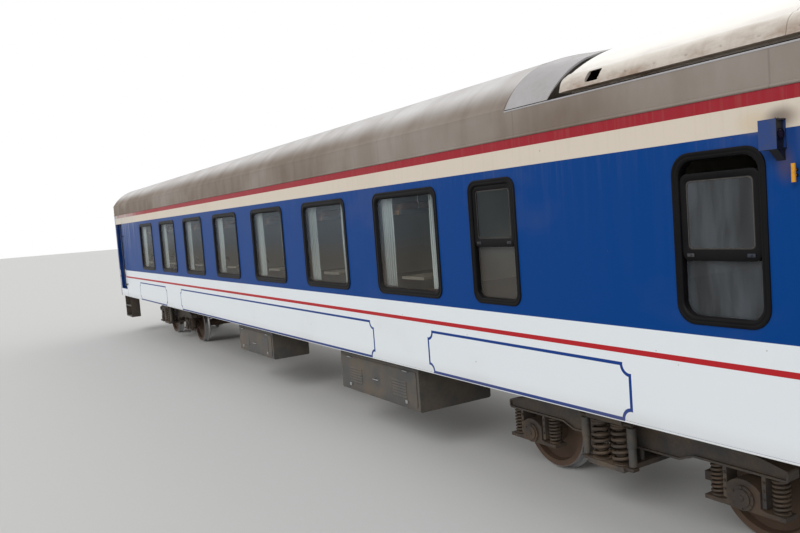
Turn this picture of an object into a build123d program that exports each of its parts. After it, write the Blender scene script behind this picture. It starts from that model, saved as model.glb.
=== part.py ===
"""Metre-gauge sleeping coach, rebuilt as named pieces in millimetres.

X runs along the coach, with +X at the end that carries the roof unit, the compartment side
faces -Y and +Z is up. The origin is on the centre line, midway between the bogies, at the
level of the wheel flange tips, which is the lowest point of the coach.
"""

from build123d import *
import os

BOTH = (-1, 1)

# Body shell. Values named EDGE_ are heights above the bottom edge of the body's side.
BODY_LENGTH = 20000.0
BODY_WIDTH = 2900.0
WALL = 60.0
END_WALL = 60.0
FLOOR_THICKNESS = 70.0
EDGE_FLOOR_TOP = 190.0
EDGE_CANT = 2124.0
EDGE_ROOF_SPRING = 2365.0
EDGE_ROOF_BULGE = 2565.0
EDGE_ROOF_SHOULDER = 2738.0
EDGE_ROOF_TOP = 2890.0
ROOF_BULGE_INSET = 165.0
ROOF_SHOULDER_INSET = 450.0
ROOF_SHELL = 55.0
SEAT = 0.3

# Running gear
RAIL_GAUGE = 1000.0
WHEEL_RADIUS = 390.0
FLANGE_HEIGHT = 28.0
FLANGE_WIDTH = 32.0
FLANGE_PLAY = 4.5
RIM_WIDTH = 125.0
RIM_DEPTH = 62.0
WEB_THICKNESS = 26.0
HUB_RADIUS = 125.0
HUB_LENGTH = 165.0
AXLE_RADIUS = 78.0
JOURNAL_RADIUS = 60.0
JOURNAL_CLEARANCE = 0.3
JOURNAL_START_Y = 715.0
JOURNAL_END_Y = 850.0
BOGIE_CENTRES = 14000.0
BOGIE_WHEELBASE = 2200.0
BODY_EDGE_ABOVE_RAIL = 950.0
COUPLER_ABOVE_RAIL = 825.0

# Bogie
FRAME_Y = 790.0
FRAME_BEAM = 120.0
FRAME_LOW_Z = 600.0
FRAME_TOP_Z = 740.0
FRAME_HALF_LENGTH = 1430.0
TRANSOM_X = 330.0
TRANSOM_WIDTH = 120.0
FRAME_WEB = 84.0
FRAME_FLANGE_PLATE = 16.0
FRAME_TAPER = 260.0
FRAME_TIP_DROP = 60.0
FRAME_DROP = 50.0
FRAME_DROP_X = 560.0
FRAME_DROP_SLOPE = 130.0
FRAME_ROUND = 24.0
GUIDE_THICKNESS = 30.0
GUIDE_DROP = 40.0
BOLSTER_REACH_Y = 1050.0
BOLSTER_HALF = 190.0
BOLSTER_LOW_Z = 770.0
BOLSTER_TOP_Z = 930.0
BOLSTER_BELLY = 80.0
BOLSTER_BELLY_Y = 520.0
BOLSTER_BELLY_SLOPE = 130.0
BOLSTER_ROUND = 30.0
BOLSTER_TIP = 60.0
BEARER_HALF_LENGTH = 120.0
BEARER_HALF_WIDTH = 70.0
CENTRE_PLATE_RADIUS = 200.0
PIVOT_RADIUS = 60.0
PIVOT_DROP = 150.0
SIDE_BEARER_Y = 630.0
BEARER_GAP = 5.0
SPRING_X = 105.0
SPRING_Y = 960.0
SPRING_RADIUS = 88.0
PLANK_Z = 400.0
PLANK_THICKNESS = 40.0
LINK_RADIUS = 20.0
BOX_SPRING_X = 240.0
BOX_SPRING_RADIUS = 60.0
WING_Z = 330.0
WING_THICKNESS = 30.0
BOX_HALF = 130.0
BOX_GAP = 5.0
BOX_INNER = 60.0
BOX_OUTER = 75.0
BOX_SHOULDER = 70.0
BOX_CROWN = 130.0
COVER_RADIUS = 88.0
COVER_PROUD = 16.0
BRAKE_BEAM = 70.0
BRAKE_BEAM_LAP = 15.0
BRAKE_SHOE_WIDTH = 80.0
BRAKE_SHOE_DEPTH = 52.0
BRAKE_GAP = 8.0

# Couplers
COUPLER_PIVOT_INSET = 500.0
COUPLER_REACH = 400.0
COUPLER_SHANK = 130.0
COUPLER_PIN_RADIUS = 40.0
DRAFT_PLATE = 20.0
DRAFT_BACK = 180.0
DRAFT_WEB = 30.0
DRAFT_FRONT = 110.0
DRAFT_HALF_WIDTH = 150.0
CARRIER_DEPTH = 60.0
CARRIER_HALF_WIDTH = 260.0
KNUCKLE_HEIGHT = 220.0
KNUCKLE_LIP = 10.0
KNUCKLE_ROUND = 14.0

# Entrances: a recessed doorway at each corner of the coach
ENTRANCE_LENGTH = 850.0
EDGE_DOOR_TOP = 1910.0
PORTAL_DEPTH = 200.0
PORTAL_JAMB = 30.0
DOOR_RECESS = 120.0
DOOR_THICKNESS = 40.0
DOOR_GAP = 8.0
DOOR_LIP = 22.0
DOOR_LIP_GAP = 6.0
HINGE_GAP = 24.0
HINGE_PROUD = 11.0
HINGE_RADIUS = 9.0
HINGE_PIN_RADIUS = 4.0
HINGE_LENGTH = 120.0
HINGE_END = 220.0
HINGE_COUNT = 3
HINGE_STRAP = 5.0
HINGE_STRAP_REACH = 50.0
DOOR_LIGHT_WIDTH = 420.0
DOOR_LIGHT_HEIGHT = 700.0
DOOR_LIGHT_SILL = 850.0
DOOR_LIGHT_RADIUS = 60.0
DOOR_PANEL_LOW = 120.0
DOOR_PANEL_TOP = 720.0
DOOR_PANEL_DEPTH = 6.0
DOOR_PULL_HEIGHT = 900.0
DOOR_PULL_LENGTH = 320.0
DOOR_PULL_INSET = 90.0
DOOR_PULL_RADIUS = 10.0
DOOR_PULL_STANDOFF = 45.0

# Gangway
GANGWAY_DOOR_WIDTH = 740.0
GANGWAY_DOOR_HEIGHT = 1900.0
GANGWAY_LIGHT_WIDTH = 380.0
GANGWAY_DOOR_THICKNESS = 30.0
GANGWAY_DOOR_INSET = 5.0
GANGWAY_REACH = 360.0
GANGWAY_HALF_WIDTH = 520.0
GANGWAY_FOLDS = 6
GANGWAY_FOLD_DEPTH = 45.0
GANGWAY_SKIN = 70.0
GANGWAY_BELOW_FLOOR = 85.0
GANGWAY_ABOVE_FLOOR = 2035.0
GANGWAY_ROUND = 110.0
GANGWAY_PLATE = 14.0
END_RIB_WIDTH = 60.0
END_RIB_PROUD = 14.0
END_RIB_PLACES = (760.0, 1130.0)
END_RIB_MARGIN = 120.0

# Windows: one wide one to each compartment, then a narrow one and a washroom one
WIDE_WINDOW_PITCH = 1891.0
WIDE_WINDOW_WIDTH = 1228.0
WIDE_WINDOW_RADIUS = 100.0
FAR_ROOM_LENGTH = 1674.5
NEAR_ROOMS_LENGTH = 3388.5
NARROW_WINDOW_INSET = 2898.0
NARROW_WINDOW_WIDTH = 640.0
NARROW_WINDOW_RADIUS = 100.0
NARROW_RAIL_HEIGHT = 528.0
WASHROOM_WINDOW_INSET = 716.0
WASHROOM_WINDOW_WIDTH = 646.0
WASHROOM_WINDOW_RADIUS = 130.0
WASHROOM_RAIL_HEIGHT = 435.0
WASHROOM_SASH_DROP = 80.0
WINDOW_HEIGHT = 1070.0
EDGE_WINDOW_SILL = 751.0
FRAME_FLANGE = 30.0
FRAME_BAR = 62.0
FRAME_PROUD = 10.0
SASH_FRAME_BAR = 50.0
SASH_BAR = 42.0
SASH_RAIL = 70.0
SASH_ROUND = 55.0
SASH_DEPTH = 24.0
SASH_INSET = 6.0
LOWER_PANE_INSET = 44.0
GLASS = 8.0
GLASS_INSET = 16.0

# Inside
CORRIDOR_WIDTH = 760.0
PARTITION = 30.0
WASHROOM_LENGTH = 1750.0
VESTIBULE_WALL_INSET = 60.0
BERTH_WALL_GAP = 80.0
BERTH_WIDTH = 620.0
BERTH_BOARD = 45.0
LOWER_BERTH_HEIGHT = 380.0
UPPER_BERTH_HEIGHT = 1390.0
MATTRESS = 90.0
MATTRESS_INSET = 15.0
TABLE_WIDTH = 420.0
TABLE_DEPTH = 560.0
TABLE_HEIGHT = 720.0
TABLE_TOP = 30.0
TABLE_LEG_RADIUS = 25.0
TABLE_LEG_INSET = 80.0
EDGE_CEILING = 2290.0
CEILING = 20.0
CURTAIN_WIDTH = 330.0
CURTAIN_THICKNESS = 50.0
CURTAIN_OVERLAP = 20.0
CURTAIN_CLEAR = 75.0
CURTAIN_RAIL_HEIGHT = 60.0

# Roof unit and its recess
RECESS_LENGTH = 3260.0
RECESS_INSET = 240.0
EDGE_DECK = 2345.0
DECK_PLATE = 12.0
FAIRING_LENGTH = 480.0
END_FAIRING_LENGTH = 280.0
FAIRING_DROP = 45.0
FAIRING_SHEET = 14.0
UNIT_START_GAP = 130.0
UNIT_END_GAP = 100.0
UNIT_SIDE_GAP = 20.0
UNIT_PLINTH_INSET = 60.0
UNIT_SEAM_INSET = 490.0
UNIT_HOLE_INSET = 340.0
UNIT_END_HOLE_INSET = 140.0
UNIT_HOLE_LENGTH = 132.0
UNIT_HOLE_HEIGHT = 78.0
UNIT_HOLE_LEAN = 20.0
UNIT_HOLE_ROUND = 14.0
UNIT_HOLE_DEPTH = 190.0
EDGE_UNIT_HOLE = 2452.0
EDGE_UNIT_BOTTOM = 2385.0
EDGE_UNIT_HEEL = 2440.0
EDGE_UNIT_TOP = 2835.0
UNIT_LIP = 40.0
UNIT_LIP_INSET = 14.0
UNIT_SEAM = 6.0
UNIT_SEAM_DEPTH = 5.0

# Underframe and what hangs from it
SOLE_BAR = 90.0
CENTRE_SILL_Y = 300.0
CENTRE_SILL = 100.0
CROSS_MEMBER = 90.0
CROSS_MEMBER_PITCH = 1300.0
CROSS_MEMBER_COUNT = 9
BODY_BOLSTER = 520.0
HEADSTOCK = 220.0
JACK_PAD = 180.0
JACK_PAD_THICKNESS = 25.0
JACK_PAD_INSET = 200.0

# Tanks and cases: rows of X span, Y and Z values in the fittings' own tables
TANK_RADIUS = 300.0
TANK_Y = 560.0
TANK_Z = 600.0
TANK_SPAN = (-4300.0, -2200.0)
TANK_STRAPS = (-3, -2)
RESERVOIR_RADIUS = 140.0
RESERVOIR_Y = 250.0
RESERVOIR_Z = 760.0
RESERVOIR_SPAN = (-250.0, 1550.0)
RESERVOIR_STRAPS = (0, 1)
STRAP_WIDTH = 60.0
STRAP = 8.0
TANK_END = 40.0
CASE_OUTER_INSET = 110.0
CASE_DEPTH = 580.0
BATTERY_LENGTH = 1500.0
BATTERY_STARTS = ((-1, -900.0), (1, 900.0))
BATTERY_LOW_Z = 520.0
EQUIPMENT_SPAN = (2900.0, 4700.0)
EQUIPMENT_DEPTH = 920.0
EQUIPMENT_LOW_Z = 470.0
CASE_HANGER = 60.0
CASE_HANGER_INSET = 80.0
CASE_HANGER_DROP = 40.0
CASE_ROUND = 25.0
CASE_DOOR_MARGIN = 45.0
CASE_DOOR_PROUD = 8.0

# Steps, rails and lamp fittings
STEP_INSET = 50.0
STEP_DEPTH = 220.0
STEP_SIDE_GAP = 60.0
STEP_LOW_Z = 420.0
STEP_PLATE = 14.0
STEP_COUNT = 2
RAIL_RADIUS = 15.0
RAIL_INSET = 65.0
RAIL_STANDOFF = 50.0
EDGE_RAIL_LOW = 280.0
EDGE_RAIL_TOP = 1610.0
LAMP_BOX_INSET = 321.0
LAMP_BOX_WIDTH = 107.0
LAMP_BOX_REACH = 90.0
LAMP_BOX_RIM = 8.0
LAMP_BOX_POCKET = 12.0
LAMP_LENS_RADIUS = 28.0
LAMP_LENS_SET_BACK = 3.0
LAMP_BRACKET_DROP = 62.0
LAMP_BRACKET_WIDTH = 52.0
EDGE_LAMP_BOX_LOW = 1775.0
EDGE_LAMP_BOX_TOP = 1940.0
HANDLE_INSET = 215.0
HANDLE_STANDOFF = 32.0
EDGE_HANDLE_LOW = 1590.0
EDGE_HANDLE_TOP = 1692.0
HANDLE_RADIUS = 12.0

HALF_LENGTH = BODY_LENGTH / 2
HALF_WIDTH = BODY_WIDTH / 2
INNER_HALF = HALF_WIDTH - WALL
END_INNER_X = HALF_LENGTH - END_WALL
PORTAL_INNER_Y = HALF_WIDTH - PORTAL_DEPTH
DOORWAY_INNER_X = HALF_LENGTH - ENTRANCE_LENGTH
COUPLER_PIVOT_X = HALF_LENGTH - COUPLER_PIVOT_INSET
COUPLER_FACE_X = HALF_LENGTH + COUPLER_REACH
FIRST_WALL_X = FAR_ROOM_LENGTH - DOORWAY_INNER_X
COMPARTMENTS_LENGTH = 2 * DOORWAY_INNER_X - FAR_ROOM_LENGTH - NEAR_ROOMS_LENGTH
WIDE_WINDOW_COUNT = int((COMPARTMENTS_LENGTH + 1) // WIDE_WINDOW_PITCH)
WASHROOM_WALL_X = DOORWAY_INNER_X - WASHROOM_LENGTH
CORRIDOR_WALL_Y = INNER_HALF - CORRIDOR_WIDTH - PARTITION
RECESS_END_X = HALF_LENGTH - RECESS_INSET
RECESS_START_X = RECESS_END_X - RECESS_LENGTH
UNIT_START_X = RECESS_START_X + FAIRING_LENGTH + UNIT_START_GAP
UNIT_END_X = RECESS_END_X - END_FAIRING_LENGTH - UNIT_END_GAP
UNIT_HALF_WIDTH = HALF_WIDTH - UNIT_SIDE_GAP
UNIT_SEAM_X = UNIT_END_X - UNIT_SEAM_INSET
STEP_OUTER_Y = HALF_WIDTH - STEP_INSET
STEP_INNER_Y = STEP_OUTER_Y - STEP_DEPTH
RAIL_X = DOORWAY_INNER_X - RAIL_INSET
LAMP_BOX_X = DOORWAY_INNER_X - LAMP_BOX_INSET
HANDLE_X = DOORWAY_INNER_X - HANDLE_INSET
CASE_OUTER_Y = HALF_WIDTH - CASE_OUTER_INSET
BODY_EDGE_Z = FLANGE_HEIGHT + BODY_EDGE_ABOVE_RAIL
FLOOR_TOP_Z = BODY_EDGE_Z + EDGE_FLOOR_TOP
FLOOR_BOTTOM_Z = FLOOR_TOP_Z - FLOOR_THICKNESS
CANT_Z = BODY_EDGE_Z + EDGE_CANT
CEILING_Z = BODY_EDGE_Z + EDGE_CEILING
AXLE_Z = FLANGE_HEIGHT + WHEEL_RADIUS
COUPLER_Z = FLANGE_HEIGHT + COUPLER_ABOVE_RAIL
WHEEL_BACK_Y = RAIL_GAUGE / 2 - FLANGE_WIDTH - FLANGE_PLAY
TREAD_Y = WHEEL_BACK_Y + FLANGE_WIDTH + BRAKE_SHOE_WIDTH / 2 + 10
SILL_Z = BODY_EDGE_Z + EDGE_WINDOW_SILL
WINDOW_Z = SILL_Z + WINDOW_HEIGHT / 2
DOOR_TOP_Z = BODY_EDGE_Z + EDGE_DOOR_TOP

ENDS = (("near", 1), ("far", -1))
SIDES = (("left", -1), ("right", 1))


def block(x_span, y_span, z_span):
    """A box from its spans along the three axes."""
    spans = [sorted(span) for span in (x_span, y_span, z_span)]
    sizes = [high - low for low, high in spans]
    centre = [(low + high) / 2 for low, high in spans]
    return Pos(*centre) * Box(*sizes)


def bar_x(centre, radius, x_span):
    """A round bar along X, centred on a (y, z) point."""
    low, high = sorted(x_span)
    return Pos((low + high) / 2, *centre) * (Rot(0, 90, 0) * Cylinder(radius, high - low))


def bar_y(centre, radius, y_span):
    """A round bar along Y, centred on an (x, z) point."""
    low, high = sorted(y_span)
    return Pos(centre[0], (low + high) / 2, centre[1]) * (Rot(90, 0, 0) * Cylinder(radius, high - low))


def bar_z(centre, radius, z_span):
    """A round bar along Z, centred on an (x, y) point."""
    low, high = sorted(z_span)
    return Pos(*centre, (low + high) / 2) * Cylinder(radius, high - low)


def side_plate(centre, size, radius, y_span):
    """An upright plate with rounded corners: centre and size are (x, z) pairs."""
    low, high = sorted(y_span)
    outline = Plane.XZ * Pos(*centre) * RectangleRounded(*size, radius)
    return Pos(0, high, 0) * extrude(outline, amount=high - low)


def along_x(face, x_span):
    """Extrudes a face of the YZ plane over a span of X."""
    low, high = sorted(x_span)
    return Pos(low, 0, 0) * extrude(face, amount=high - low)


def fused(pieces):
    """One solid from pieces that overlap or share faces."""
    whole = pieces[0]
    for piece in pieces[1:]:
        whole += piece
    return whole


def save(node, *shapes):
    """Writes one node, whose solids stay apart, to its own file."""
    solids = [solid for shape in shapes for solid in shape.solids()]
    export_step(Compound(label=node, children=solids), f"parts/{node}.step")


def window_table():
    """Rows of centre x, frame width, corner radius, height of the split rail (0: one pane) and sash drop."""
    first = FIRST_WALL_X + WIDE_WINDOW_PITCH / 2
    wide = [
        (first + index * WIDE_WINDOW_PITCH, WIDE_WINDOW_WIDTH, WIDE_WINDOW_RADIUS, 0.0, 0.0)
        for index in range(WIDE_WINDOW_COUNT)
    ]
    narrow_x = DOORWAY_INNER_X - NARROW_WINDOW_INSET
    washroom_x = DOORWAY_INNER_X - WASHROOM_WINDOW_INSET
    return wide + [
        (narrow_x, NARROW_WINDOW_WIDTH, NARROW_WINDOW_RADIUS, NARROW_RAIL_HEIGHT, 0.0),
        (washroom_x, WASHROOM_WINDOW_WIDTH, WASHROOM_WINDOW_RADIUS, WASHROOM_RAIL_HEIGHT, WASHROOM_SASH_DROP),
    ]


def side_wall(side):
    """The main panel of one side, between its doorways, with the window openings cut."""
    x_span = (-DOORWAY_INNER_X, DOORWAY_INNER_X)
    wall = block(x_span, (side * INNER_HALF, side * HALF_WIDTH), (BODY_EDGE_Z, CANT_Z))
    for centre_x, width, radius, _, _ in window_table():
        size = (width - 2 * FRAME_FLANGE, WINDOW_HEIGHT - 2 * FRAME_FLANGE)
        through = (side * (INNER_HALF - 10), side * (HALF_WIDTH + 10))
        wall -= side_plate((centre_x, WINDOW_Z), size, radius - FRAME_FLANGE / 2, through)
    return wall


def sash_place(centre_x, width, rail, drop):
    """The centre and size of a split window's upper sash, from its rail to its top bar."""
    low = SILL_Z + rail - SASH_RAIL / 2
    high = SILL_Z + WINDOW_HEIGHT - SASH_FRAME_BAR - drop
    return (centre_x, (low + high) / 2), (width - 2 * SASH_FRAME_BAR, high - low)


def sash_light(centre_x, width, rail, drop):
    """The centre and size of the opening inside the upper sash, above its deeper rail."""
    centre, size = sash_place(centre_x, width, rail, drop)
    lift = (SASH_RAIL - SASH_BAR) / 2
    return (centre[0], centre[1] + lift), (size[0] - 2 * SASH_BAR, size[1] - SASH_RAIL - SASH_BAR)


def window_frame(side, centre_x, width, radius, rail, drop):
    """A black frame: a flange on the skin, a sleeve through the wall and, if split, a sash."""
    skin = side * HALF_WIDTH
    face = skin + side * FRAME_PROUD
    centre = (centre_x, WINDOW_Z)
    sleeve = FRAME_FLANGE + SEAT
    size = (width - 2 * sleeve, WINDOW_HEIGHT - 2 * sleeve)
    frame = side_plate(centre, (width, WINDOW_HEIGHT), radius, (skin, face))
    frame += side_plate(centre, size, radius - FRAME_FLANGE / 2, (side * INNER_HALF, face))
    bar = SASH_FRAME_BAR if rail else FRAME_BAR
    size = (width - 2 * bar, WINDOW_HEIGHT - 2 * bar)
    frame -= side_plate(centre, size, radius - FRAME_FLANGE, (side * (INNER_HALF - 10), face + side * 10))
    if rail:
        depth = (skin - side * SASH_INSET, skin - side * (SASH_INSET + SASH_DEPTH))
        place, size = sash_place(centre_x, width, rail, drop)
        sash = side_plate(place, (size[0] + 2, size[1] + 2), SASH_ROUND, depth)
        frame += sash - side_plate(*sash_light(centre_x, width, rail, drop), SASH_ROUND - 25, depth)
    return frame


def window_panes(side, centre_x, width, radius, rail, drop):
    """The glass of one window: one pane, or an upper and a deeper lower one."""
    skin = side * HALF_WIDTH
    depth = (skin - side * GLASS_INSET, skin - side * (GLASS_INSET + GLASS))
    if not rail:
        inset = FRAME_BAR + SEAT
        size = (width - 2 * inset, WINDOW_HEIGHT - 2 * inset)
        return [side_plate((centre_x, WINDOW_Z), size, radius - FRAME_FLANGE - SEAT, depth)]
    centre, size = sash_light(centre_x, width, rail, drop)
    size = (size[0] - 2 * SEAT, size[1] - 2 * SEAT)
    upper = side_plate(centre, size, SASH_ROUND - 25, depth)
    inset = SASH_FRAME_BAR + SEAT
    low, high = SILL_Z + inset, SILL_Z + rail + SASH_RAIL / 2
    depth = (skin - side * LOWER_PANE_INSET, skin - side * (LOWER_PANE_INSET + GLASS))
    corner = radius - FRAME_FLANGE - SEAT
    lower = side_plate((centre_x, (low + high) / 2), (width - 2 * inset, high - low), corner, depth)
    return [upper, lower + block(
        (centre_x - width / 2 + inset, centre_x + width / 2 - inset), depth, ((low + high) / 2, high),
    )]


def roof_outline(inset):
    """The roof's section as a closed face in the YZ plane, moved inwards by the inset."""
    half = HALF_WIDTH - inset
    spring = BODY_EDGE_Z + EDGE_ROOF_SPRING - 0.4 * inset
    bulge = (HALF_WIDTH - ROOF_BULGE_INSET - 0.8 * inset, BODY_EDGE_Z + EDGE_ROOF_BULGE - 0.7 * inset)
    shoulder = (HALF_WIDTH - ROOF_SHOULDER_INSET - 0.4 * inset, BODY_EDGE_Z + EDGE_ROOF_SHOULDER - inset)
    top = BODY_EDGE_Z + EDGE_ROOF_TOP - inset
    edges = [
        Line((-half, CANT_Z), (-half, spring)),
        ThreePointArc((-half, spring), (-bulge[0], bulge[1]), (-shoulder[0], shoulder[1])),
        ThreePointArc((-shoulder[0], shoulder[1]), (0, top), shoulder),
        ThreePointArc(shoulder, bulge, (half, spring)),
        Line((half, spring), (half, CANT_Z)),
        Line((half, CANT_Z), (-half, CANT_Z)),
    ]
    return Plane.YZ * make_face(edges)


def recess_volume():
    """The space taken out of the roof for the unit and its fairings."""
    z_span = (BODY_EDGE_Z + EDGE_DECK, BODY_EDGE_Z + EDGE_ROOF_TOP + 100)
    return block((RECESS_START_X, RECESS_END_X), (-HALF_WIDTH - 10, HALF_WIDTH + 10), z_span)


def roof():
    """The roof shell over the whole length, with the recess for the unit cut out."""
    outer = along_x(roof_outline(0), (-HALF_LENGTH, HALF_LENGTH))
    inner = along_x(roof_outline(ROOF_SHELL), (-END_INNER_X, END_INNER_X))
    return outer - inner - recess_volume()


def roof_recess():
    """The deck that closes the recess below the unit, with an upstand at each end."""
    span = (RECESS_START_X - DECK_PLATE, RECESS_END_X + DECK_PLATE)
    inside = along_x(roof_outline(ROOF_SHELL + SEAT), span)
    deck = BODY_EDGE_Z + EDGE_DECK
    high = (-HALF_WIDTH, HALF_WIDTH), (deck - DECK_PLATE, BODY_EDGE_Z + EDGE_ROOF_TOP)
    tray = block((RECESS_START_X, RECESS_END_X), (-HALF_WIDTH, HALF_WIDTH), (deck - DECK_PLATE, deck))
    tray += block((RECESS_START_X - DECK_PLATE, RECESS_START_X), *high)
    tray += block((RECESS_END_X, RECESS_END_X + DECK_PLATE), *high)
    return tray & inside


def fairing_section(drop, x):
    """The outline of a fairing above the deck, lowered by the drop, at one x."""
    half = HALF_WIDTH - 0.4 * drop
    spring = BODY_EDGE_Z + EDGE_DECK
    bulge = (HALF_WIDTH - ROOF_BULGE_INSET - 0.7 * drop, BODY_EDGE_Z + EDGE_ROOF_BULGE - 0.7 * drop)
    shoulder = (HALF_WIDTH - ROOF_SHOULDER_INSET - 0.3 * drop, BODY_EDGE_Z + EDGE_ROOF_SHOULDER - drop)
    top = BODY_EDGE_Z + EDGE_ROOF_TOP - drop
    edges = [
        ThreePointArc((-half, spring), (-bulge[0], bulge[1]), (-shoulder[0], shoulder[1])),
        ThreePointArc((-shoulder[0], shoulder[1]), (0, top), shoulder),
        ThreePointArc(shoulder, bulge, (half, spring)),
        Line((half, spring), (-half, spring)),
    ]
    return Pos(x, 0, 0) * (Plane.YZ * make_face(edges))


def roof_fairing(high_x, low_x):
    """A sheet that leads from the roof's section down to the unit's, open underneath."""
    reach = (high_x - low_x) * 0.1
    outer = loft([fairing_section(2.0, high_x), fairing_section(FAIRING_DROP, low_x)])
    inner = loft([
        fairing_section(2.0 + FAIRING_SHEET, high_x + reach),
        fairing_section(FAIRING_DROP + FAIRING_SHEET + 4, low_x - reach),
    ])
    return outer - inner


def unit_outline(inset):
    """The section of the unit's cover: upright heel, tight shoulder and a low crown."""
    half, low = UNIT_HALF_WIDTH - inset, BODY_EDGE_Z + EDGE_UNIT_BOTTOM
    heel = (half - 15, BODY_EDGE_Z + EDGE_UNIT_HEEL - 0.3 * inset)
    bend = (half - 45, heel[1] + 48)
    knee = (half - 110, heel[1] + 82 - 0.5 * inset)
    crown = (half - 770, BODY_EDGE_Z + EDGE_UNIT_TOP - 58 - inset)
    middle = (half - 480, heel[1] + 262 - 0.9 * inset)
    top = (0, BODY_EDGE_Z + EDGE_UNIT_TOP - inset)
    left = [(-y, z) for y, z in (heel, bend, knee, middle, crown)]
    edges = [
        Line((-half, low), left[0]), ThreePointArc(left[0], left[1], left[2]),
        ThreePointArc(left[2], left[3], left[4]), ThreePointArc(left[4], top, crown),
        ThreePointArc(crown, middle, knee), ThreePointArc(knee, bend, heel),
        Line(heel, (half, low)), Line((half, low), (-half, low)),
    ]
    return Plane.YZ * make_face(edges)


def roof_unit():
    """The pale moulded cover of the roof unit on its plinth, with end lips and a seam."""
    body = along_x(unit_outline(0), (UNIT_START_X + UNIT_LIP, UNIT_END_X - UNIT_LIP))
    lips = along_x(unit_outline(UNIT_LIP_INSET), (UNIT_START_X, UNIT_END_X))
    seam = (UNIT_SEAM_X - UNIT_SEAM / 2, UNIT_SEAM_X + UNIT_SEAM / 2)
    groove = along_x(unit_outline(0), seam) - along_x(unit_outline(UNIT_SEAM_DEPTH), seam)
    half = UNIT_HALF_WIDTH - 1.5 * UNIT_PLINTH_INSET
    plinth_x = (UNIT_START_X + UNIT_PLINTH_INSET, UNIT_END_X - UNIT_PLINTH_INSET)
    plinth = block(plinth_x, (-half, half), (BODY_EDGE_Z + EDGE_DECK, BODY_EDGE_Z + EDGE_UNIT_BOTTOM))
    unit = body + lips - groove + plinth
    for side in BOTH:
        for x in (UNIT_START_X + UNIT_HOLE_INSET, UNIT_END_X - UNIT_END_HOLE_INSET):
            unit -= unit_air_hole(x, side)
    return unit


def unit_air_hole(x, side):
    """The space of one leaning air hole in the cover's heel, with rounded corners."""
    z = BODY_EDGE_Z + EDGE_UNIT_HOLE
    half, up, lean = UNIT_HOLE_LENGTH / 2, UNIT_HOLE_HEIGHT / 2, UNIT_HOLE_LEAN / 2
    corners = [(-half - lean, -up), (half - lean, -up), (half + lean, up), (-half + lean, up)]
    outline = make_face([Line(*pair) for pair in zip(corners, corners[1:] + corners[:1])])
    leaf = Plane.XZ * fillet(outline.vertices(), UNIT_HOLE_ROUND)
    outer = side * (UNIT_HALF_WIDTH + 10)
    inner = side * (UNIT_HALF_WIDTH - UNIT_HOLE_DEPTH)
    return Pos(x, max(outer, inner), z) * extrude(leaf, amount=abs(outer - inner))


def end_wall(end):
    """One end of the body, with the gangway doorway cut."""
    wall = block((end * END_INNER_X, end * HALF_LENGTH), (-HALF_WIDTH, HALF_WIDTH), (BODY_EDGE_Z, CANT_Z))
    half = GANGWAY_DOOR_WIDTH / 2
    through = (end * (END_INNER_X - 10), end * (HALF_LENGTH + 10))
    wall -= block(through, (-half, half), (FLOOR_TOP_Z, FLOOR_TOP_Z + GANGWAY_DOOR_HEIGHT))
    for fixed, _ in gangway_hinges(end):
        wall += fixed
    rib_z = (BODY_EDGE_Z + END_RIB_MARGIN, CANT_Z - END_RIB_MARGIN)
    for side in BOTH:
        for y in END_RIB_PLACES:
            centre = (side * y, (rib_z[0] + rib_z[1]) / 2)
            size = (END_RIB_WIDTH, rib_z[1] - rib_z[0])
            outline = Plane.YZ * Pos(*centre) * RectangleRounded(*size, END_RIB_WIDTH / 2 - 1)
            face = end * HALF_LENGTH
            wall += along_x(outline, (face - end, face + end * END_RIB_PROUD))
    return wall


def hinge(place, mirrored):
    """The fixed half and the leaf's half of one butt hinge, its pin along Z at the place.

    The leaf lies on +X of the pin and opens towards +Y, or the mirror image of that in Y.
    """
    knuckle = HINGE_LENGTH / 3
    half_gap = HINGE_GAP / 2
    face = -HINGE_PROUD
    middle = (-knuckle / 2, knuckle / 2)
    leaf = bar_z((0, 0), HINGE_RADIUS, middle)
    leaf += block((0, half_gap + HINGE_STRAP_REACH), (face, face + HINGE_STRAP), middle)
    leaf -= bar_z((0, 0), HINGE_PIN_RADIUS + SEAT, (-HINGE_LENGTH, HINGE_LENGTH))
    fixed = bar_z((0, 0), HINGE_PIN_RADIUS, (-HINGE_LENGTH / 2, HINGE_LENGTH / 2))
    for side in BOTH:
        outer = (side * (knuckle / 2 + 1), side * HINGE_LENGTH / 2)
        fixed += bar_z((0, 0), HINGE_RADIUS, outer)
        fixed += block((-half_gap, 0), (face, face + HINGE_STRAP), outer)
    flip = mirror if mirrored else (lambda shape, about: shape)
    return [place * flip(piece, about=Plane.XZ) for piece in (fixed, leaf)]


def hinge_heights(low, high):
    """The heights of a door's hinges between its bottom and top edges."""
    step = (high - low - 2 * HINGE_END) / (HINGE_COUNT - 1)
    return [low + HINGE_END + index * step for index in range(HINGE_COUNT)]


def entrance_hinges(end, side):
    """The hinges of one entrance door, as pairs of a fixed half and a leaf half."""
    x = end * (DOORWAY_INNER_X + PORTAL_JAMB + HINGE_GAP / 2)
    y = side * (HALF_WIDTH - DOOR_RECESS - DOOR_THICKNESS - HINGE_PROUD)
    turn = 0 if end > 0 else 180
    mirrored = side * end > 0
    return [
        hinge(Pos(x, y, z) * Rot(0, 0, turn), mirrored)
        for z in hinge_heights(FLOOR_TOP_Z, DOOR_TOP_Z)
    ]


def gangway_hinges(end):
    """The hinges of one gangway door, as pairs of a fixed half and a leaf half."""
    x = end * (HALF_LENGTH - GANGWAY_DOOR_INSET - GANGWAY_DOOR_THICKNESS - HINGE_PROUD)
    y = GANGWAY_DOOR_WIDTH / 2 - HINGE_GAP / 2
    return [
        hinge(Pos(x, y, z) * Rot(0, 0, -90), end > 0)
        for z in hinge_heights(FLOOR_TOP_Z, FLOOR_TOP_Z + GANGWAY_DOOR_HEIGHT)
    ]


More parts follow.
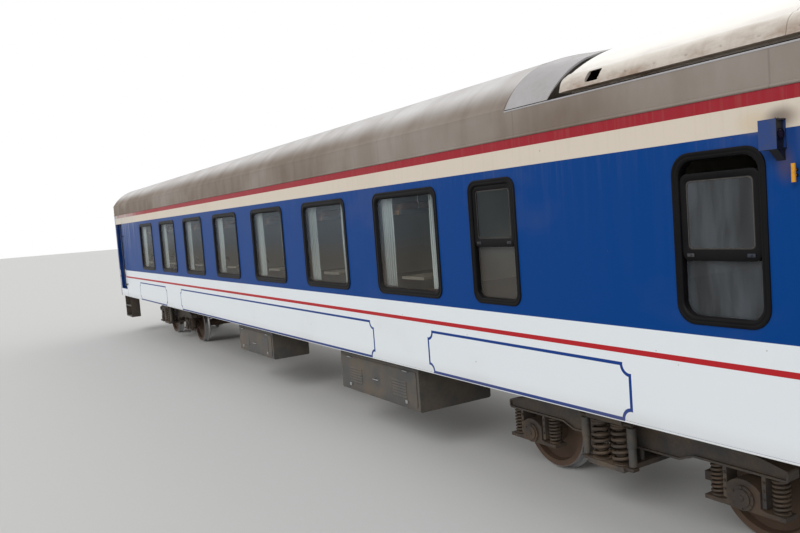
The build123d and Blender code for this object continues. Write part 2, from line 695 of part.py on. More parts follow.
def door_portal(end, side):
    """The deep frame of one entrance: lintel, sill, inner jamb and corner post."""
    x_span = (end * DOORWAY_INNER_X, end * END_INNER_X)
    frame = block(x_span, (side * PORTAL_INNER_Y, side * HALF_WIDTH), (BODY_EDGE_Z, CANT_Z))
    rebate_y = side * (HALF_WIDTH - DOOR_RECESS + DOOR_LIP_GAP)
    inner_x, outer_x = DOORWAY_INNER_X + PORTAL_JAMB, END_INNER_X - PORTAL_JAMB
    inside = (side * (PORTAL_INNER_Y - 10), rebate_y)
    frame -= block((end * inner_x, end * outer_x), inside, (FLOOR_TOP_Z, DOOR_TOP_Z))
    outside = (rebate_y, side * (HALF_WIDTH + 10))
    lipped_x = (end * (inner_x + DOOR_LIP), end * (outer_x - DOOR_LIP))
    frame -= block(lipped_x, outside, (FLOOR_TOP_Z, DOOR_TOP_Z - DOOR_LIP))
    for fixed, _ in entrance_hinges(end, side):
        frame += fixed
    return frame


def entrance_door(end, side):
    """A flat leaf, hung at its inner edge, and the glass of its window."""
    x_span = [end * (DOORWAY_INNER_X + PORTAL_JAMB + HINGE_GAP), end * (END_INNER_X - PORTAL_JAMB - DOOR_GAP)]
    outer_y = side * (HALF_WIDTH - DOOR_RECESS)
    inner_y = outer_y - side * DOOR_THICKNESS
    leaf = block(x_span, (outer_y, inner_y), (FLOOR_TOP_Z + DOOR_GAP, DOOR_TOP_Z - DOOR_GAP))
    centre = (sum(x_span) / 2, FLOOR_TOP_Z + DOOR_LIGHT_SILL + DOOR_LIGHT_HEIGHT / 2)
    size = (DOOR_LIGHT_WIDTH, DOOR_LIGHT_HEIGHT)
    leaf -= side_plate(centre, size, DOOR_LIGHT_RADIUS, (outer_y + side * 10, inner_y - side * 10))
    panel_z = FLOOR_TOP_Z + (DOOR_PANEL_LOW + DOOR_PANEL_TOP) / 2
    size = (DOOR_LIGHT_WIDTH, DOOR_PANEL_TOP - DOOR_PANEL_LOW)
    panel_y = (outer_y + side * 10, outer_y - side * DOOR_PANEL_DEPTH)
    leaf -= side_plate((centre[0], panel_z), size, DOOR_LIGHT_RADIUS, panel_y)
    pull_z = FLOOR_TOP_Z + DOOR_PULL_HEIGHT
    pull_x = x_span[1] - end * DOOR_PULL_INSET
    leaf += grab_rail(
        pull_x, side, (pull_z, pull_z + DOOR_PULL_LENGTH), DOOR_PULL_RADIUS, DOOR_PULL_STANDOFF, abs(outer_y),
    )
    for _, moving in entrance_hinges(end, side):
        leaf += moving
    size = (DOOR_LIGHT_WIDTH - 2 * SEAT, DOOR_LIGHT_HEIGHT - 2 * SEAT)
    glass_y = (outer_y - side * GLASS_INSET, outer_y - side * (GLASS_INSET + GLASS))
    return leaf, side_plate(centre, size, DOOR_LIGHT_RADIUS - SEAT, glass_y)


def gangway_door(end):
    """The leaf in the end wall, hung at its +Y edge, and the glass of its window."""
    outer_x = HALF_LENGTH - GANGWAY_DOOR_INSET
    x_span = (end * outer_x, end * (outer_x - GANGWAY_DOOR_THICKNESS))
    half = GANGWAY_DOOR_WIDTH / 2
    z_span = (FLOOR_TOP_Z + DOOR_GAP, FLOOR_TOP_Z + GANGWAY_DOOR_HEIGHT - DOOR_GAP)
    leaf = block(x_span, (-half + DOOR_GAP, half - HINGE_GAP), z_span)
    centre = (0, FLOOR_TOP_Z + DOOR_LIGHT_SILL + DOOR_LIGHT_HEIGHT / 2)
    place = Pos(sum(x_span) / 2, 0, 0) * Rot(0, 0, 90)
    size = (GANGWAY_LIGHT_WIDTH, DOOR_LIGHT_HEIGHT)
    leaf -= place * side_plate(centre, size, DOOR_LIGHT_RADIUS, (-DOOR_THICKNESS, DOOR_THICKNESS))
    for _, moving in gangway_hinges(end):
        leaf += moving
    size = (GANGWAY_LIGHT_WIDTH - 2 * SEAT, DOOR_LIGHT_HEIGHT - 2 * SEAT)
    return leaf, place * side_plate(centre, size, DOOR_LIGHT_RADIUS - SEAT, (-GLASS / 2, GLASS / 2))


def gangway(end):
    """The folded bellows round the passage between coaches, as a deep ribbed ring."""
    low, high = FLOOR_TOP_Z - GANGWAY_BELOW_FLOOR, FLOOR_TOP_Z + GANGWAY_ABOVE_FLOOR
    middle = Pos(0, (low + high) / 2)
    fold = (GANGWAY_REACH - GANGWAY_PLATE) / GANGWAY_FOLDS
    layers = []
    for index in range(GANGWAY_FOLDS):
        grow = GANGWAY_FOLD_DEPTH if index % 2 == 0 else 0.0
        width = 2 * (GANGWAY_HALF_WIDTH - GANGWAY_FOLD_DEPTH + grow)
        outline = Plane.YZ * middle * RectangleRounded(width, high - low + 2 * grow, GANGWAY_ROUND)
        layers.append(along_x(outline, (HALF_LENGTH + index * fold, HALF_LENGTH + (index + 1) * fold)))
    width = 2 * (GANGWAY_HALF_WIDTH - GANGWAY_FOLD_DEPTH - GANGWAY_SKIN)
    passage = Plane.YZ * middle * RectangleRounded(width, high - low - 2 * GANGWAY_SKIN, GANGWAY_ROUND / 2)
    ring = fused(layers) - along_x(passage, (HALF_LENGTH - 10, HALF_LENGTH + GANGWAY_REACH + 10))
    return ring if end > 0 else Rot(0, 0, 180) * ring


def gangway_plate(end):
    """The steel face plate at the outer end of a gangway, a flat ring."""
    low, high = FLOOR_TOP_Z - GANGWAY_BELOW_FLOOR, FLOOR_TOP_Z + GANGWAY_ABOVE_FLOOR
    middle = Pos(0, (low + high) / 2)
    outline = RectangleRounded(2 * GANGWAY_HALF_WIDTH, high - low + 2 * GANGWAY_FOLD_DEPTH, GANGWAY_ROUND)
    rim = GANGWAY_FOLD_DEPTH + GANGWAY_SKIN
    width, height = 2 * (GANGWAY_HALF_WIDTH - rim), high - low - 2 * GANGWAY_SKIN
    ring = Plane.YZ * middle * (outline - RectangleRounded(width, height, GANGWAY_ROUND / 2))
    face = HALF_LENGTH + GANGWAY_REACH
    plate = along_x(ring, (face - GANGWAY_PLATE + SEAT, face))
    return plate if end > 0 else Rot(0, 0, 180) * plate


def floor():
    """The floor plate, narrower between the deep door frames."""
    z_span = (FLOOR_BOTTOM_Z, FLOOR_TOP_Z)
    wide = block((-DOORWAY_INNER_X, DOORWAY_INNER_X), (-INNER_HALF, INNER_HALF), z_span)
    return wide + block((-END_INNER_X, END_INNER_X), (-PORTAL_INNER_Y, PORTAL_INNER_Y), z_span)


def underframe():
    """Sole bars, centre sills, cross members, bolsters, headstocks and jacking pads, as welded."""
    z_span = (BODY_EDGE_Z, FLOOR_BOTTOM_Z)
    across = (-INNER_HALF, INNER_HALF)
    bars = []
    for side in BOTH:
        bar_y_span = (side * INNER_HALF, side * (INNER_HALF - SOLE_BAR))
        bars.append(block((-DOORWAY_INNER_X, DOORWAY_INNER_X), bar_y_span, z_span))
        sill_y = (side * (CENTRE_SILL_Y - CENTRE_SILL / 2), side * (CENTRE_SILL_Y + CENTRE_SILL / 2))
        bars.append(block((-END_INNER_X, END_INNER_X), sill_y, z_span))
    for index in range(CROSS_MEMBER_COUNT):
        x = cross_member_x(index - CROSS_MEMBER_COUNT // 2)
        bars.append(block((x - CROSS_MEMBER / 2, x + CROSS_MEMBER / 2), across, z_span))
    for end in BOTH:
        x = end * BOGIE_CENTRES / 2
        bars.append(block((x - BODY_BOLSTER / 2, x + BODY_BOLSTER / 2), across, z_span))
        for side in BOTH:
            pad_y = side * (HALF_WIDTH - JACK_PAD_INSET)
            pad_x_span, pad_y_span = ((v - JACK_PAD / 2, v + JACK_PAD / 2) for v in (x, pad_y))
            bars.append(block(pad_x_span, pad_y_span, (BODY_EDGE_Z - JACK_PAD_THICKNESS, BODY_EDGE_Z + 1)))
        bars.append(block((end * DOORWAY_INNER_X, end * (DOORWAY_INNER_X - CROSS_MEMBER)), across, z_span))
        headstock_x = (end * (END_INNER_X - HEADSTOCK), end * END_INNER_X)
        bars.append(block(headstock_x, (-PORTAL_INNER_Y, PORTAL_INNER_Y), z_span))
    return fused(bars)


def body_pivot(end):
    """The centre pin of the body, with the plate that rests on the bogie's centre plate."""
    x = end * BOGIE_CENTRES / 2
    return bar_z((x, 0), PIVOT_RADIUS, (BODY_EDGE_Z - PIVOT_DROP, BODY_EDGE_Z))


def draft_gear(end):
    """The pocket that holds a coupler's pin, and the carrier that the shank rests over."""
    half = COUPLER_SHANK / 2
    top = (COUPLER_Z + half + BEARER_GAP, BODY_EDGE_Z)
    bottom = (COUPLER_Z - half - BEARER_GAP - DRAFT_PLATE, COUPLER_Z - half - BEARER_GAP)
    upright = (bottom[0], BODY_EDGE_Z)
    back_x = (COUPLER_PIVOT_X - DRAFT_BACK, COUPLER_PIVOT_X + DRAFT_FRONT)
    web_x = (COUPLER_PIVOT_X - DRAFT_BACK, COUPLER_PIVOT_X - DRAFT_BACK + DRAFT_WEB)
    sill_y = CENTRE_SILL_Y + CENTRE_SILL / 2
    pocket = fused([
        block(back_x, (-sill_y, sill_y), top),
        block(back_x, (-DRAFT_HALF_WIDTH, DRAFT_HALF_WIDTH), bottom),
        block(web_x, (-DRAFT_HALF_WIDTH, DRAFT_HALF_WIDTH), upright),
        bar_z((COUPLER_PIVOT_X, 0), COUPLER_PIN_RADIUS, upright),
    ])
    carrier_x = (END_INNER_X - CARRIER_DEPTH, END_INNER_X)
    carrier = block(carrier_x, (-CARRIER_HALF_WIDTH, CARRIER_HALF_WIDTH), bottom)
    for side in BOTH:
        cheek = (side * (CARRIER_HALF_WIDTH - DRAFT_PLATE), side * CARRIER_HALF_WIDTH)
        carrier += block(carrier_x, cheek, upright)
    turn = Rot(0, 0, 0 if end > 0 else 180)
    return [turn * pocket, turn * carrier]


def coupler(end):
    """An automatic knuckle coupler on its shank, as one casting that swings at its pin."""
    half = COUPLER_SHANK / 2
    z_span = (COUPLER_Z - half, COUPLER_Z + half)
    neck_x = COUPLER_FACE_X - 200
    casting = block((COUPLER_PIVOT_X, neck_x), (-half, half), z_span)
    casting += bar_z((COUPLER_PIVOT_X, 0), half + 25, z_span)
    outline = Polyline(
        (-230, -105), (-60, -150), (0, -60), (-70, -10), (-70, 60), (10, 90),
        (10, 150), (-120, 165), (-230, 105), close=True,
    )
    head = make_face(outline)
    head = fillet(head.vertices(), KNUCKLE_ROUND)
    place = Pos(COUPLER_FACE_X - KNUCKLE_LIP, 0, COUPLER_Z - KNUCKLE_HEIGHT / 2)
    casting += place * extrude(head, amount=KNUCKLE_HEIGHT)
    flare = Plane.YZ.offset(neck_x - 160) * Pos(0, COUPLER_Z) * Rectangle(COUPLER_SHANK, COUPLER_SHANK)
    mouth = Plane.YZ.offset(neck_x - 20) * Pos(0, COUPLER_Z) * Rectangle(205, KNUCKLE_HEIGHT - 10)
    casting += loft([flare, mouth])
    casting -= bar_z((COUPLER_PIVOT_X, 0), COUPLER_PIN_RADIUS + SEAT, (z_span[0] - 10, z_span[1] + 10))
    return casting if end > 0 else Rot(0, 0, 180) * casting


def wheel_outline():
    """Half of a wheelset's section as (distance from the middle, radius) points."""
    back = WHEEL_BACK_Y
    face = back + RIM_WIDTH
    rim = WHEEL_RADIUS - RIM_DEPTH
    web = back + RIM_WIDTH / 2
    half_web = WEB_THICKNESS / 2
    return [
        (0, AXLE_RADIUS), (back - 20, AXLE_RADIUS), (back - 20, HUB_RADIUS),
        (web - half_web, HUB_RADIUS + 15),
        (web - half_web, rim - 15), (back, rim), (back, WHEEL_RADIUS + FLANGE_HEIGHT - 10),
        (back + 10, WHEEL_RADIUS + FLANGE_HEIGHT), (back + 18, WHEEL_RADIUS + FLANGE_HEIGHT),
        (back + FLANGE_WIDTH, WHEEL_RADIUS + 8), (back + FLANGE_WIDTH + 12, WHEEL_RADIUS + 1),
        (face - 6, WHEEL_RADIUS - 3), (face, WHEEL_RADIUS - 9), (face, rim), (web + half_web, rim - 15),
        (web + half_web, HUB_RADIUS + 15), (back + HUB_LENGTH - 20, HUB_RADIUS),
        (back + HUB_LENGTH - 20, AXLE_RADIUS), (JOURNAL_START_Y, AXLE_RADIUS),
        (JOURNAL_START_Y, JOURNAL_RADIUS), (JOURNAL_END_Y, JOURNAL_RADIUS), (JOURNAL_END_Y, 0), (0, 0),
    ]


def wheelset(axle_x):
    """Two wheels pressed on an axle with its journals: one turned body."""
    half = Rot(0, 0, 90) * revolve(make_face(Polyline(*wheel_outline(), close=True)), axis=Axis.X)
    return Pos(axle_x, 0, AXLE_Z) * (half + Rot(0, 0, 180) * half)


def frame_outline():
    """The side view of a bogie's side beam: dropped in the middle and tapered at its ends."""
    end_x, low, top = FRAME_HALF_LENGTH, FRAME_LOW_Z, FRAME_TOP_Z
    right = [
        (0, top), (end_x - FRAME_TAPER, top), (end_x, top - FRAME_TIP_DROP), (end_x, low),
        (FRAME_DROP_X + FRAME_DROP_SLOPE, low), (FRAME_DROP_X, low - FRAME_DROP), (0, low - FRAME_DROP),
    ]
    left = [(-x, z) for x, z in reversed(right[1:-1])]
    face = make_face(Polyline(*right, *left, close=True))
    return Plane.XZ * fillet(face.vertices().filter_by(lambda v: abs(v.X) > 1), FRAME_ROUND)


def bogie_frame():
    """The welded H frame: flanged side beams, transoms and the guides round each axlebox."""
    outline = frame_outline()
    inner = offset(outline, -FRAME_FLANGE_PLATE)
    parts = []
    for side in BOTH:
        web = extrude(outline, amount=FRAME_WEB)
        flanges = extrude(outline - inner, amount=FRAME_BEAM)
        parts.append(Pos(0, side * FRAME_Y + FRAME_WEB / 2, 0) * web)
        parts.append(Pos(0, side * FRAME_Y + FRAME_BEAM / 2, 0) * flanges)
        y_span = (side * (FRAME_Y - FRAME_BEAM / 2), side * (FRAME_Y + FRAME_BEAM / 2))
        for axle in BOTH:
            for edge in BOTH:
                near = axle * BOGIE_WHEELBASE / 2 + edge * (BOX_HALF + BOX_GAP)
                guide_x = (near, near + edge * GUIDE_THICKNESS)
                parts.append(block(guide_x, y_span, (AXLE_Z - GUIDE_DROP, FRAME_LOW_Z + 1)))
    for edge in BOTH:
        x_span = (edge * (TRANSOM_X - TRANSOM_WIDTH / 2), edge * (TRANSOM_X + TRANSOM_WIDTH / 2))
        parts.append(block(x_span, (-FRAME_Y, FRAME_Y), (FRAME_LOW_Z, FRAME_TOP_Z)))
    return fused(parts)


def bolster_beam():
    """The bolster's beam: deep in the middle, shallow over the springs, with rounded tips."""
    low, top, reach = BOLSTER_LOW_Z, BOLSTER_TOP_Z, BOLSTER_REACH_Y
    right = [
        (0, top), (reach - BOLSTER_TIP, top), (reach, top - BOLSTER_TIP), (reach, low),
        (BOLSTER_BELLY_Y + BOLSTER_BELLY_SLOPE, low), (BOLSTER_BELLY_Y, low - BOLSTER_BELLY),
        (0, low - BOLSTER_BELLY),
    ]
    left = [(-y, z) for y, z in reversed(right[1:-1])]
    face = make_face(Polyline(*right, *left, close=True))
    face = fillet(face.vertices().filter_by(lambda v: abs(v.X) > 1), BOLSTER_ROUND)
    return along_x(Plane.YZ * face, (-BOLSTER_HALF, BOLSTER_HALF))


def bogie_bolster():
    """The bolster with its centre plate and side bearers, and the spring plank below it."""
    parts = [bolster_beam()]
    parts.append(bar_z((0, 0), CENTRE_PLATE_RADIUS, (BOLSTER_TOP_Z - 1, BODY_EDGE_Z - SEAT)))
    for side in BOTH:
        bearer_y = (side * (SIDE_BEARER_Y - BEARER_HALF_WIDTH), side * (SIDE_BEARER_Y + BEARER_HALF_WIDTH))
        bearer_z = (BOLSTER_TOP_Z - 1, BODY_EDGE_Z - BEARER_GAP)
        parts.append(block((-BEARER_HALF_LENGTH, BEARER_HALF_LENGTH), bearer_y, bearer_z))
    bore = bar_z((0, 0), PIVOT_RADIUS + SEAT, (BODY_EDGE_Z - PIVOT_DROP - 10, BODY_EDGE_Z))
    plank_x, plank_y = (-BOLSTER_HALF, BOLSTER_HALF), (-BOLSTER_REACH_Y, BOLSTER_REACH_Y)
    plank = block(plank_x, plank_y, (PLANK_Z, PLANK_Z + PLANK_THICKNESS))
    for side in BOTH:
        for edge in BOTH:
            link = (edge * (BOLSTER_HALF - 2 * LINK_RADIUS), side * FRAME_Y)
            plank += bar_z(link, LINK_RADIUS, (PLANK_Z + PLANK_THICKNESS, FRAME_LOW_Z - FRAME_DROP))
    return [fused(parts) - bore, plank]


def coil(centre, radius, z_span, turns):
    """A coil spring as a ribbed turned body, as wide as the wire's outer circle."""
    low, high = z_span
    pitch = (high - low) / turns
    wire = 0.32 * pitch
    rings = [bar_z((0, 0), radius - 1.6 * wire, (low, high))]
    for index in range(turns):
        middle = low + (index + 0.5) * pitch
        rings.append(bar_z((0, 0), radius, (middle - wire, middle + wire)))
    return Pos(*centre, 0) * fused(rings)


def bogie_springs():
    """The coil springs: a pair under each end of the bolster and a pair at each axlebox."""
    springs = []
    for side in BOTH:
        for edge in BOTH:
            z_span = (PLANK_Z + PLANK_THICKNESS, BOLSTER_LOW_Z)
            springs.append(coil((edge * SPRING_X, side * SPRING_Y), SPRING_RADIUS, z_span, 6))
            for axle in BOTH:
                x = axle * BOGIE_WHEELBASE / 2 + edge * BOX_SPRING_X
                z_span = (WING_Z + WING_THICKNESS, FRAME_LOW_Z)
                springs.append(coil((x, side * FRAME_Y), BOX_SPRING_RADIUS, z_span, 5))
    return springs


def axlebox(axle, side):
    """A cast axlebox: a domed body, spring wings on gussets and a round front cover."""
    x = axle * BOGIE_WHEELBASE / 2
    inner_y, outer_y = side * (FRAME_Y - BOX_INNER), side * (FRAME_Y + BOX_OUTER)
    wing = BOX_SPRING_X + BOX_SPRING_RADIUS + 10
    wing_top, gusset = WING_Z + WING_THICKNESS, BOX_SPRING_X - BOX_SPRING_RADIUS - 3
    edges = [
        Line((-wing, WING_Z), (wing, WING_Z)), Line((wing, WING_Z), (wing, wing_top)),
        Line((wing, wing_top), (gusset, wing_top)),
        Line((gusset, wing_top), (BOX_HALF, AXLE_Z - GUIDE_DROP - 5)),
        Line((BOX_HALF, AXLE_Z - GUIDE_DROP - 5), (BOX_HALF, AXLE_Z + BOX_SHOULDER)),
        ThreePointArc(
            (BOX_HALF, AXLE_Z + BOX_SHOULDER), (0, AXLE_Z + BOX_CROWN), (-BOX_HALF, AXLE_Z + BOX_SHOULDER)
        ),
        Line((-BOX_HALF, AXLE_Z + BOX_SHOULDER), (-BOX_HALF, AXLE_Z - GUIDE_DROP - 5)),
        Line((-BOX_HALF, AXLE_Z - GUIDE_DROP - 5), (-gusset, wing_top)),
        Line((-gusset, wing_top), (-wing, wing_top)), Line((-wing, wing_top), (-wing, WING_Z)),
    ]
    outline = Plane.XZ * make_face(edges)
    box = Pos(x, max(inner_y, outer_y), 0) * extrude(outline, amount=abs(outer_y - inner_y))
    cover_y = (outer_y - side, outer_y + side * COVER_PROUD)
    box += bar_y((x, AXLE_Z), COVER_RADIUS, cover_y)
    box += bar_y((x, AXLE_Z), COVER_RADIUS - 24, (outer_y, outer_y + side * (COVER_PROUD + 10)))
    bore_y = (side * (FRAME_Y - BOX_INNER - 20), side * (JOURNAL_END_Y + 5))
    return box - bar_y((x, AXLE_Z), JOURNAL_RADIUS + JOURNAL_CLEARANCE, bore_y)


def brake_rigging(axle):
    """One axle's brake: a shoe at each tread, a beam between them and hangers from the frame."""
    axle_x = axle * BOGIE_WHEELBASE / 2
    tread = WHEEL_RADIUS + BRAKE_GAP
    beam_x = axle_x - axle * (tread + BRAKE_SHOE_DEPTH)
    hanger_x = (beam_x - axle * 24, beam_x)
    transom_x = axle * (TRANSOM_X + TRANSOM_WIDTH / 2)
    reach = TREAD_Y + BRAKE_SHOE_WIDTH / 2
    beam_span = (beam_x + axle * BRAKE_BEAM_LAP, beam_x - axle * BRAKE_BEAM)
    parts = [block(beam_span, (-reach, reach), (AXLE_Z - 75, AXLE_Z - 5))]
    for side in BOTH:
        shoe_y = (side * (TREAD_Y - BRAKE_SHOE_WIDTH / 2), side * (TREAD_Y + BRAKE_SHOE_WIDTH / 2))
        shoe = bar_y((axle_x, AXLE_Z), tread + BRAKE_SHOE_DEPTH, shoe_y)
        shoe -= bar_y((axle_x, AXLE_Z), tread, shoe_y)
        window_x = (beam_x - axle * 10, axle_x - axle * 340)
        parts.append(shoe & block(window_x, shoe_y, (AXLE_Z - 170, AXLE_Z + 120)))
        arm_y = (side * (TREAD_Y - 25), side * (TREAD_Y + 25))
        parts.append(block(hanger_x, arm_y, (AXLE_Z - 60, FRAME_LOW_Z + 60)))
        parts.append(block((beam_x, transom_x), arm_y, (FRAME_LOW_Z + 10, FRAME_LOW_Z + 60)))
    return fused(parts)


def compartment_walls():
    """The x of each wall between compartments, from the far end."""
    return [FIRST_WALL_X + index * WIDE_WINDOW_PITCH for index in range(WIDE_WINDOW_COUNT + 1)]


def interior_walls():
    """The corridor wall, the walls across the compartments and the vestibule walls."""
    z_span = (FLOOR_TOP_Z, CEILING_Z)
    half = PARTITION / 2
    vestibule = DOORWAY_INNER_X - VESTIBULE_WALL_INSET
    walls = [block((-vestibule, vestibule), (CORRIDOR_WALL_Y, CORRIDOR_WALL_Y + PARTITION), z_span)]
    for x in compartment_walls() + [WASHROOM_WALL_X]:
        walls.append(block((x - half, x + half), (-INNER_HALF, CORRIDOR_WALL_Y - SEAT), z_span))
    for end in BOTH:
        x_span = (end * (vestibule + SEAT), end * (vestibule + PARTITION))
        walls.append(block(x_span, (-INNER_HALF, CORRIDOR_WALL_Y + PARTITION), z_span))
    return walls


def berth_spans():
    """Rows of the x span and floor height of each berth."""
    rows = []
    half = PARTITION / 2
    for left, right in zip(compartment_walls(), compartment_walls()[1:]):
        for height in (LOWER_BERTH_HEIGHT, UPPER_BERTH_HEIGHT):
            rows.append(((left + half, left + half + BERTH_WIDTH), height))
            rows.append(((right - half - BERTH_WIDTH, right - half), height))
    return rows


def berth(x_span, height, thickness, inset):
    """A board or a mattress of one berth, as long as the compartment is deep."""
    y_span = (-INNER_HALF + BERTH_WALL_GAP + inset, CORRIDOR_WALL_Y - SEAT - inset)
    z = FLOOR_TOP_Z + height
    return block((x_span[0] + inset, x_span[1] - inset), y_span, (z, z + thickness))


def table(window_x):
    """A small table under a window, on the side wall, with its leg."""
    y_span = (-INNER_HALF, -INNER_HALF + TABLE_DEPTH)
    low = FLOOR_TOP_Z + TABLE_HEIGHT
    top = block((window_x - TABLE_WIDTH / 2, window_x + TABLE_WIDTH / 2), y_span, (low, low + TABLE_TOP))
    return top + bar_z((window_x, y_span[1] - TABLE_LEG_INSET), TABLE_LEG_RADIUS, (FLOOR_TOP_Z, low + 1))


def curtain(window_x, edge):
    """One drawn curtain beside a compartment window, hanging in a thin block of space."""
    outer = window_x + edge * (WIDE_WINDOW_WIDTH / 2 + CURTAIN_OVERLAP)
    y = -INNER_HALF + SEAT
    z_low = SILL_Z + CURTAIN_CLEAR
    z_top = SILL_Z + WINDOW_HEIGHT + CURTAIN_RAIL_HEIGHT
    return block((outer, outer - edge * CURTAIN_WIDTH), (y, y + CURTAIN_THICKNESS), (z_low, z_top))


def entrance_steps(end, side):
    """Two open treads between side plates, hung below one doorway."""
    x_span = (end * (DOORWAY_INNER_X + STEP_SIDE_GAP), end * (END_INNER_X - STEP_SIDE_GAP))
    y_span = (side * STEP_INNER_Y, side * STEP_OUTER_Y)
    parts = []
    for x in (min(x_span), max(x_span) - STEP_PLATE):
        parts.append(block((x, x + STEP_PLATE), y_span, (STEP_LOW_Z, BODY_EDGE_Z)))
    rise = (BODY_EDGE_Z - STEP_LOW_Z) / STEP_COUNT
    for index in range(STEP_COUNT):
        z = STEP_LOW_Z + index * rise
        parts.append(block(x_span, y_span, (z, z + STEP_PLATE)))
    return fused(parts)


def grab_rail(x, side, z_span, radius, standoff, skin_y=HALF_WIDTH):
    """An upright rail on two studs, on the body's side or another upright face."""
    skin = side * skin_y
    y = skin + side * standoff
    rail = bar_z((x, y), radius, z_span)
    for z in (z_span[0] + 3 * radius, z_span[1] - 3 * radius):
        rail += bar_y((x, z), 0.8 * radius, (skin, y))
    return rail


def lamp_box(side):
    """A marker lamp: a housing whose lens faces the coach's end, on a wedge bracket."""
    skin = side * HALF_WIDTH
    x_span = (LAMP_BOX_X - LAMP_BOX_WIDTH / 2, LAMP_BOX_X + LAMP_BOX_WIDTH / 2)
    z_span = (BODY_EDGE_Z + EDGE_LAMP_BOX_LOW, BODY_EDGE_Z + EDGE_LAMP_BOX_TOP)
    face, tip = x_span[1], skin + side * LAMP_BOX_REACH
    housing = block(x_span, (skin, tip), z_span)
    pocket_y = (skin + side * LAMP_BOX_RIM, tip - side * LAMP_BOX_RIM)
    pocket_z = (z_span[0] + LAMP_BOX_RIM, z_span[1] - LAMP_BOX_RIM)
    housing -= block((face - LAMP_BOX_POCKET, face + 1), pocket_y, pocket_z)
    lens = ((skin + tip) / 2, sum(z_span) / 2)
    housing += bar_x(lens, LAMP_LENS_RADIUS, (face - LAMP_BOX_POCKET - 1, face - LAMP_LENS_SET_BACK))
    foot = skin + side * LAMP_BOX_REACH * 0.8
    corners = [(skin, z_span[0]), (foot, z_span[0]), (skin, z_span[0] - LAMP_BRACKET_DROP)]
    wedge = make_face([Line(*pair) for pair in zip(corners, corners[1:] + corners[:1])])
    bracket_x = (face - LAMP_BOX_RIM - LAMP_BRACKET_WIDTH, face - LAMP_BOX_RIM)
    return housing + along_x(Plane.YZ * wedge, bracket_x)


def cross_member_x(index):
    """The x of a cross member, counted from the middle one."""
    return index * CROSS_MEMBER_PITCH


def hung_cylinder(centre, radius, x_span, straps):
    """A tank along X with stepped ends, strapped to the cross members named by their index."""
    tank = bar_x(centre, radius, (x_span[0] + TANK_END, x_span[1] - TANK_END))
    tank += bar_x(centre, 0.8 * radius, x_span)
    for x in map(cross_member_x, straps):
        strap_x = (x - STRAP_WIDTH / 2, x + STRAP_WIDTH / 2)
        tank += bar_x(centre, radius + STRAP, strap_x)
        for side in BOTH:
            y_span = (centre[0] + side * (radius - STRAP), centre[0] + side * (radius + STRAP))
            tank += block(strap_x, y_span, (centre[1], BODY_EDGE_Z))
    return tank


def hung_box(x_span, side, depth, low_z):
    """A steel cabinet with rounded lower edges and a raised door, on two hangers."""
    low_x, high_x = sorted(x_span)
    top_z = BODY_EDGE_Z - CASE_HANGER_DROP
    y_span = sorted((side * CASE_OUTER_Y, side * (CASE_OUTER_Y - depth)))
    centre = ((y_span[0] + y_span[1]) / 2, (low_z + top_z) / 2)
    outline = Plane.YZ * Pos(*centre) * RectangleRounded(depth, top_z - low_z, CASE_ROUND)
    box = along_x(outline, (low_x, high_x))
    door = (high_x - low_x - 2 * CASE_DOOR_MARGIN, top_z - low_z - 2 * CASE_DOOR_MARGIN)
    door_y = (side * CASE_OUTER_Y, side * (CASE_OUTER_Y + CASE_DOOR_PROUD))
    box += side_plate(((low_x + high_x) / 2, centre[1]), door, CASE_ROUND, door_y)
    for x in (low_x + CASE_HANGER_INSET, high_x - CASE_HANGER_INSET - CASE_HANGER):
        hanger_y = (y_span[0] + CASE_ROUND, y_span[1] - CASE_ROUND)
        box += block((x, x + CASE_HANGER), hanger_y, (top_z - 1, BODY_EDGE_Z))
    return box


def save_bogie(name, end):
    """Writes the nodes of one bogie at its place under the coach."""
    place = Pos(end * BOGIE_CENTRES / 2, 0, 0)
    save(f"bogie_frame_{name}", place * bogie_frame())
    save(f"bogie_bolster_{name}", *[place * piece for piece in bogie_bolster()])
    save(f"bogie_springs_{name}", *[place * spring for spring in bogie_springs()])
    save(f"axleboxes_{name}", *[place * axlebox(axle, side) for axle in BOTH for side in BOTH])
    save(f"brake_gear_{name}", *[place * brake_rigging(axle) for axle in BOTH])
    for axle_name, axle in (("outer", end), ("inner", -end)):
        save(f"wheelset_{name}_{axle_name}", place * wheelset(axle * BOGIE_WHEELBASE / 2))


def save_shell():
    """Writes the body shell, its windows, roof and roof unit."""
    save("underframe", underframe())
    save("floor", floor())
    for name, side in SIDES:
        save(f"side_wall_{name}", side_wall(side))
    windows = [(side, *row) for side in BOTH for row in window_table()]
    save("window_frames", *[window_frame(*window) for window in windows])
    save("window_glass", *[pane for window in windows for pane in window_panes(*window)])
    save("roof", roof())
    save("roof_recess", roof_recess())
    fairings = (
        (RECESS_START_X, RECESS_START_X + FAIRING_LENGTH),
        (RECESS_END_X, RECESS_END_X - END_FAIRING_LENGTH),
    )
    save("roof_fairings", *[roof_fairing(*span) for span in fairings])
    save("roof_unit", roof_unit())
    save("door_portals", *[door_portal(end, side) for end in BOTH for side in BOTH])
    save("gangways", *[gangway(end) for end in BOTH])
    save("gangway_plates", *[gangway_plate(end) for end in BOTH])


def save_ends():
    """Writes each end's wall, doors and coupler."""
    for end_name, end in ENDS:
        save(f"end_wall_{end_name}", end_wall(end))
        for side_name, side in SIDES:
            leaf, glass = entrance_door(end, side)
            save(f"entrance_door_{end_name}_{side_name}", leaf)
            save(f"entrance_glass_{end_name}_{side_name}", glass)
        leaf, glass = gangway_door(end)
        save(f"gangway_door_{end_name}", leaf)
        save(f"gangway_glass_{end_name}", glass)
        save(f"coupler_{end_name}", coupler(end))
        save_bogie(end_name, end)
    save("body_pivots", *[body_pivot(end) for end in BOTH])
    save("draft_gear", *[piece for end in BOTH for piece in draft_gear(end)])


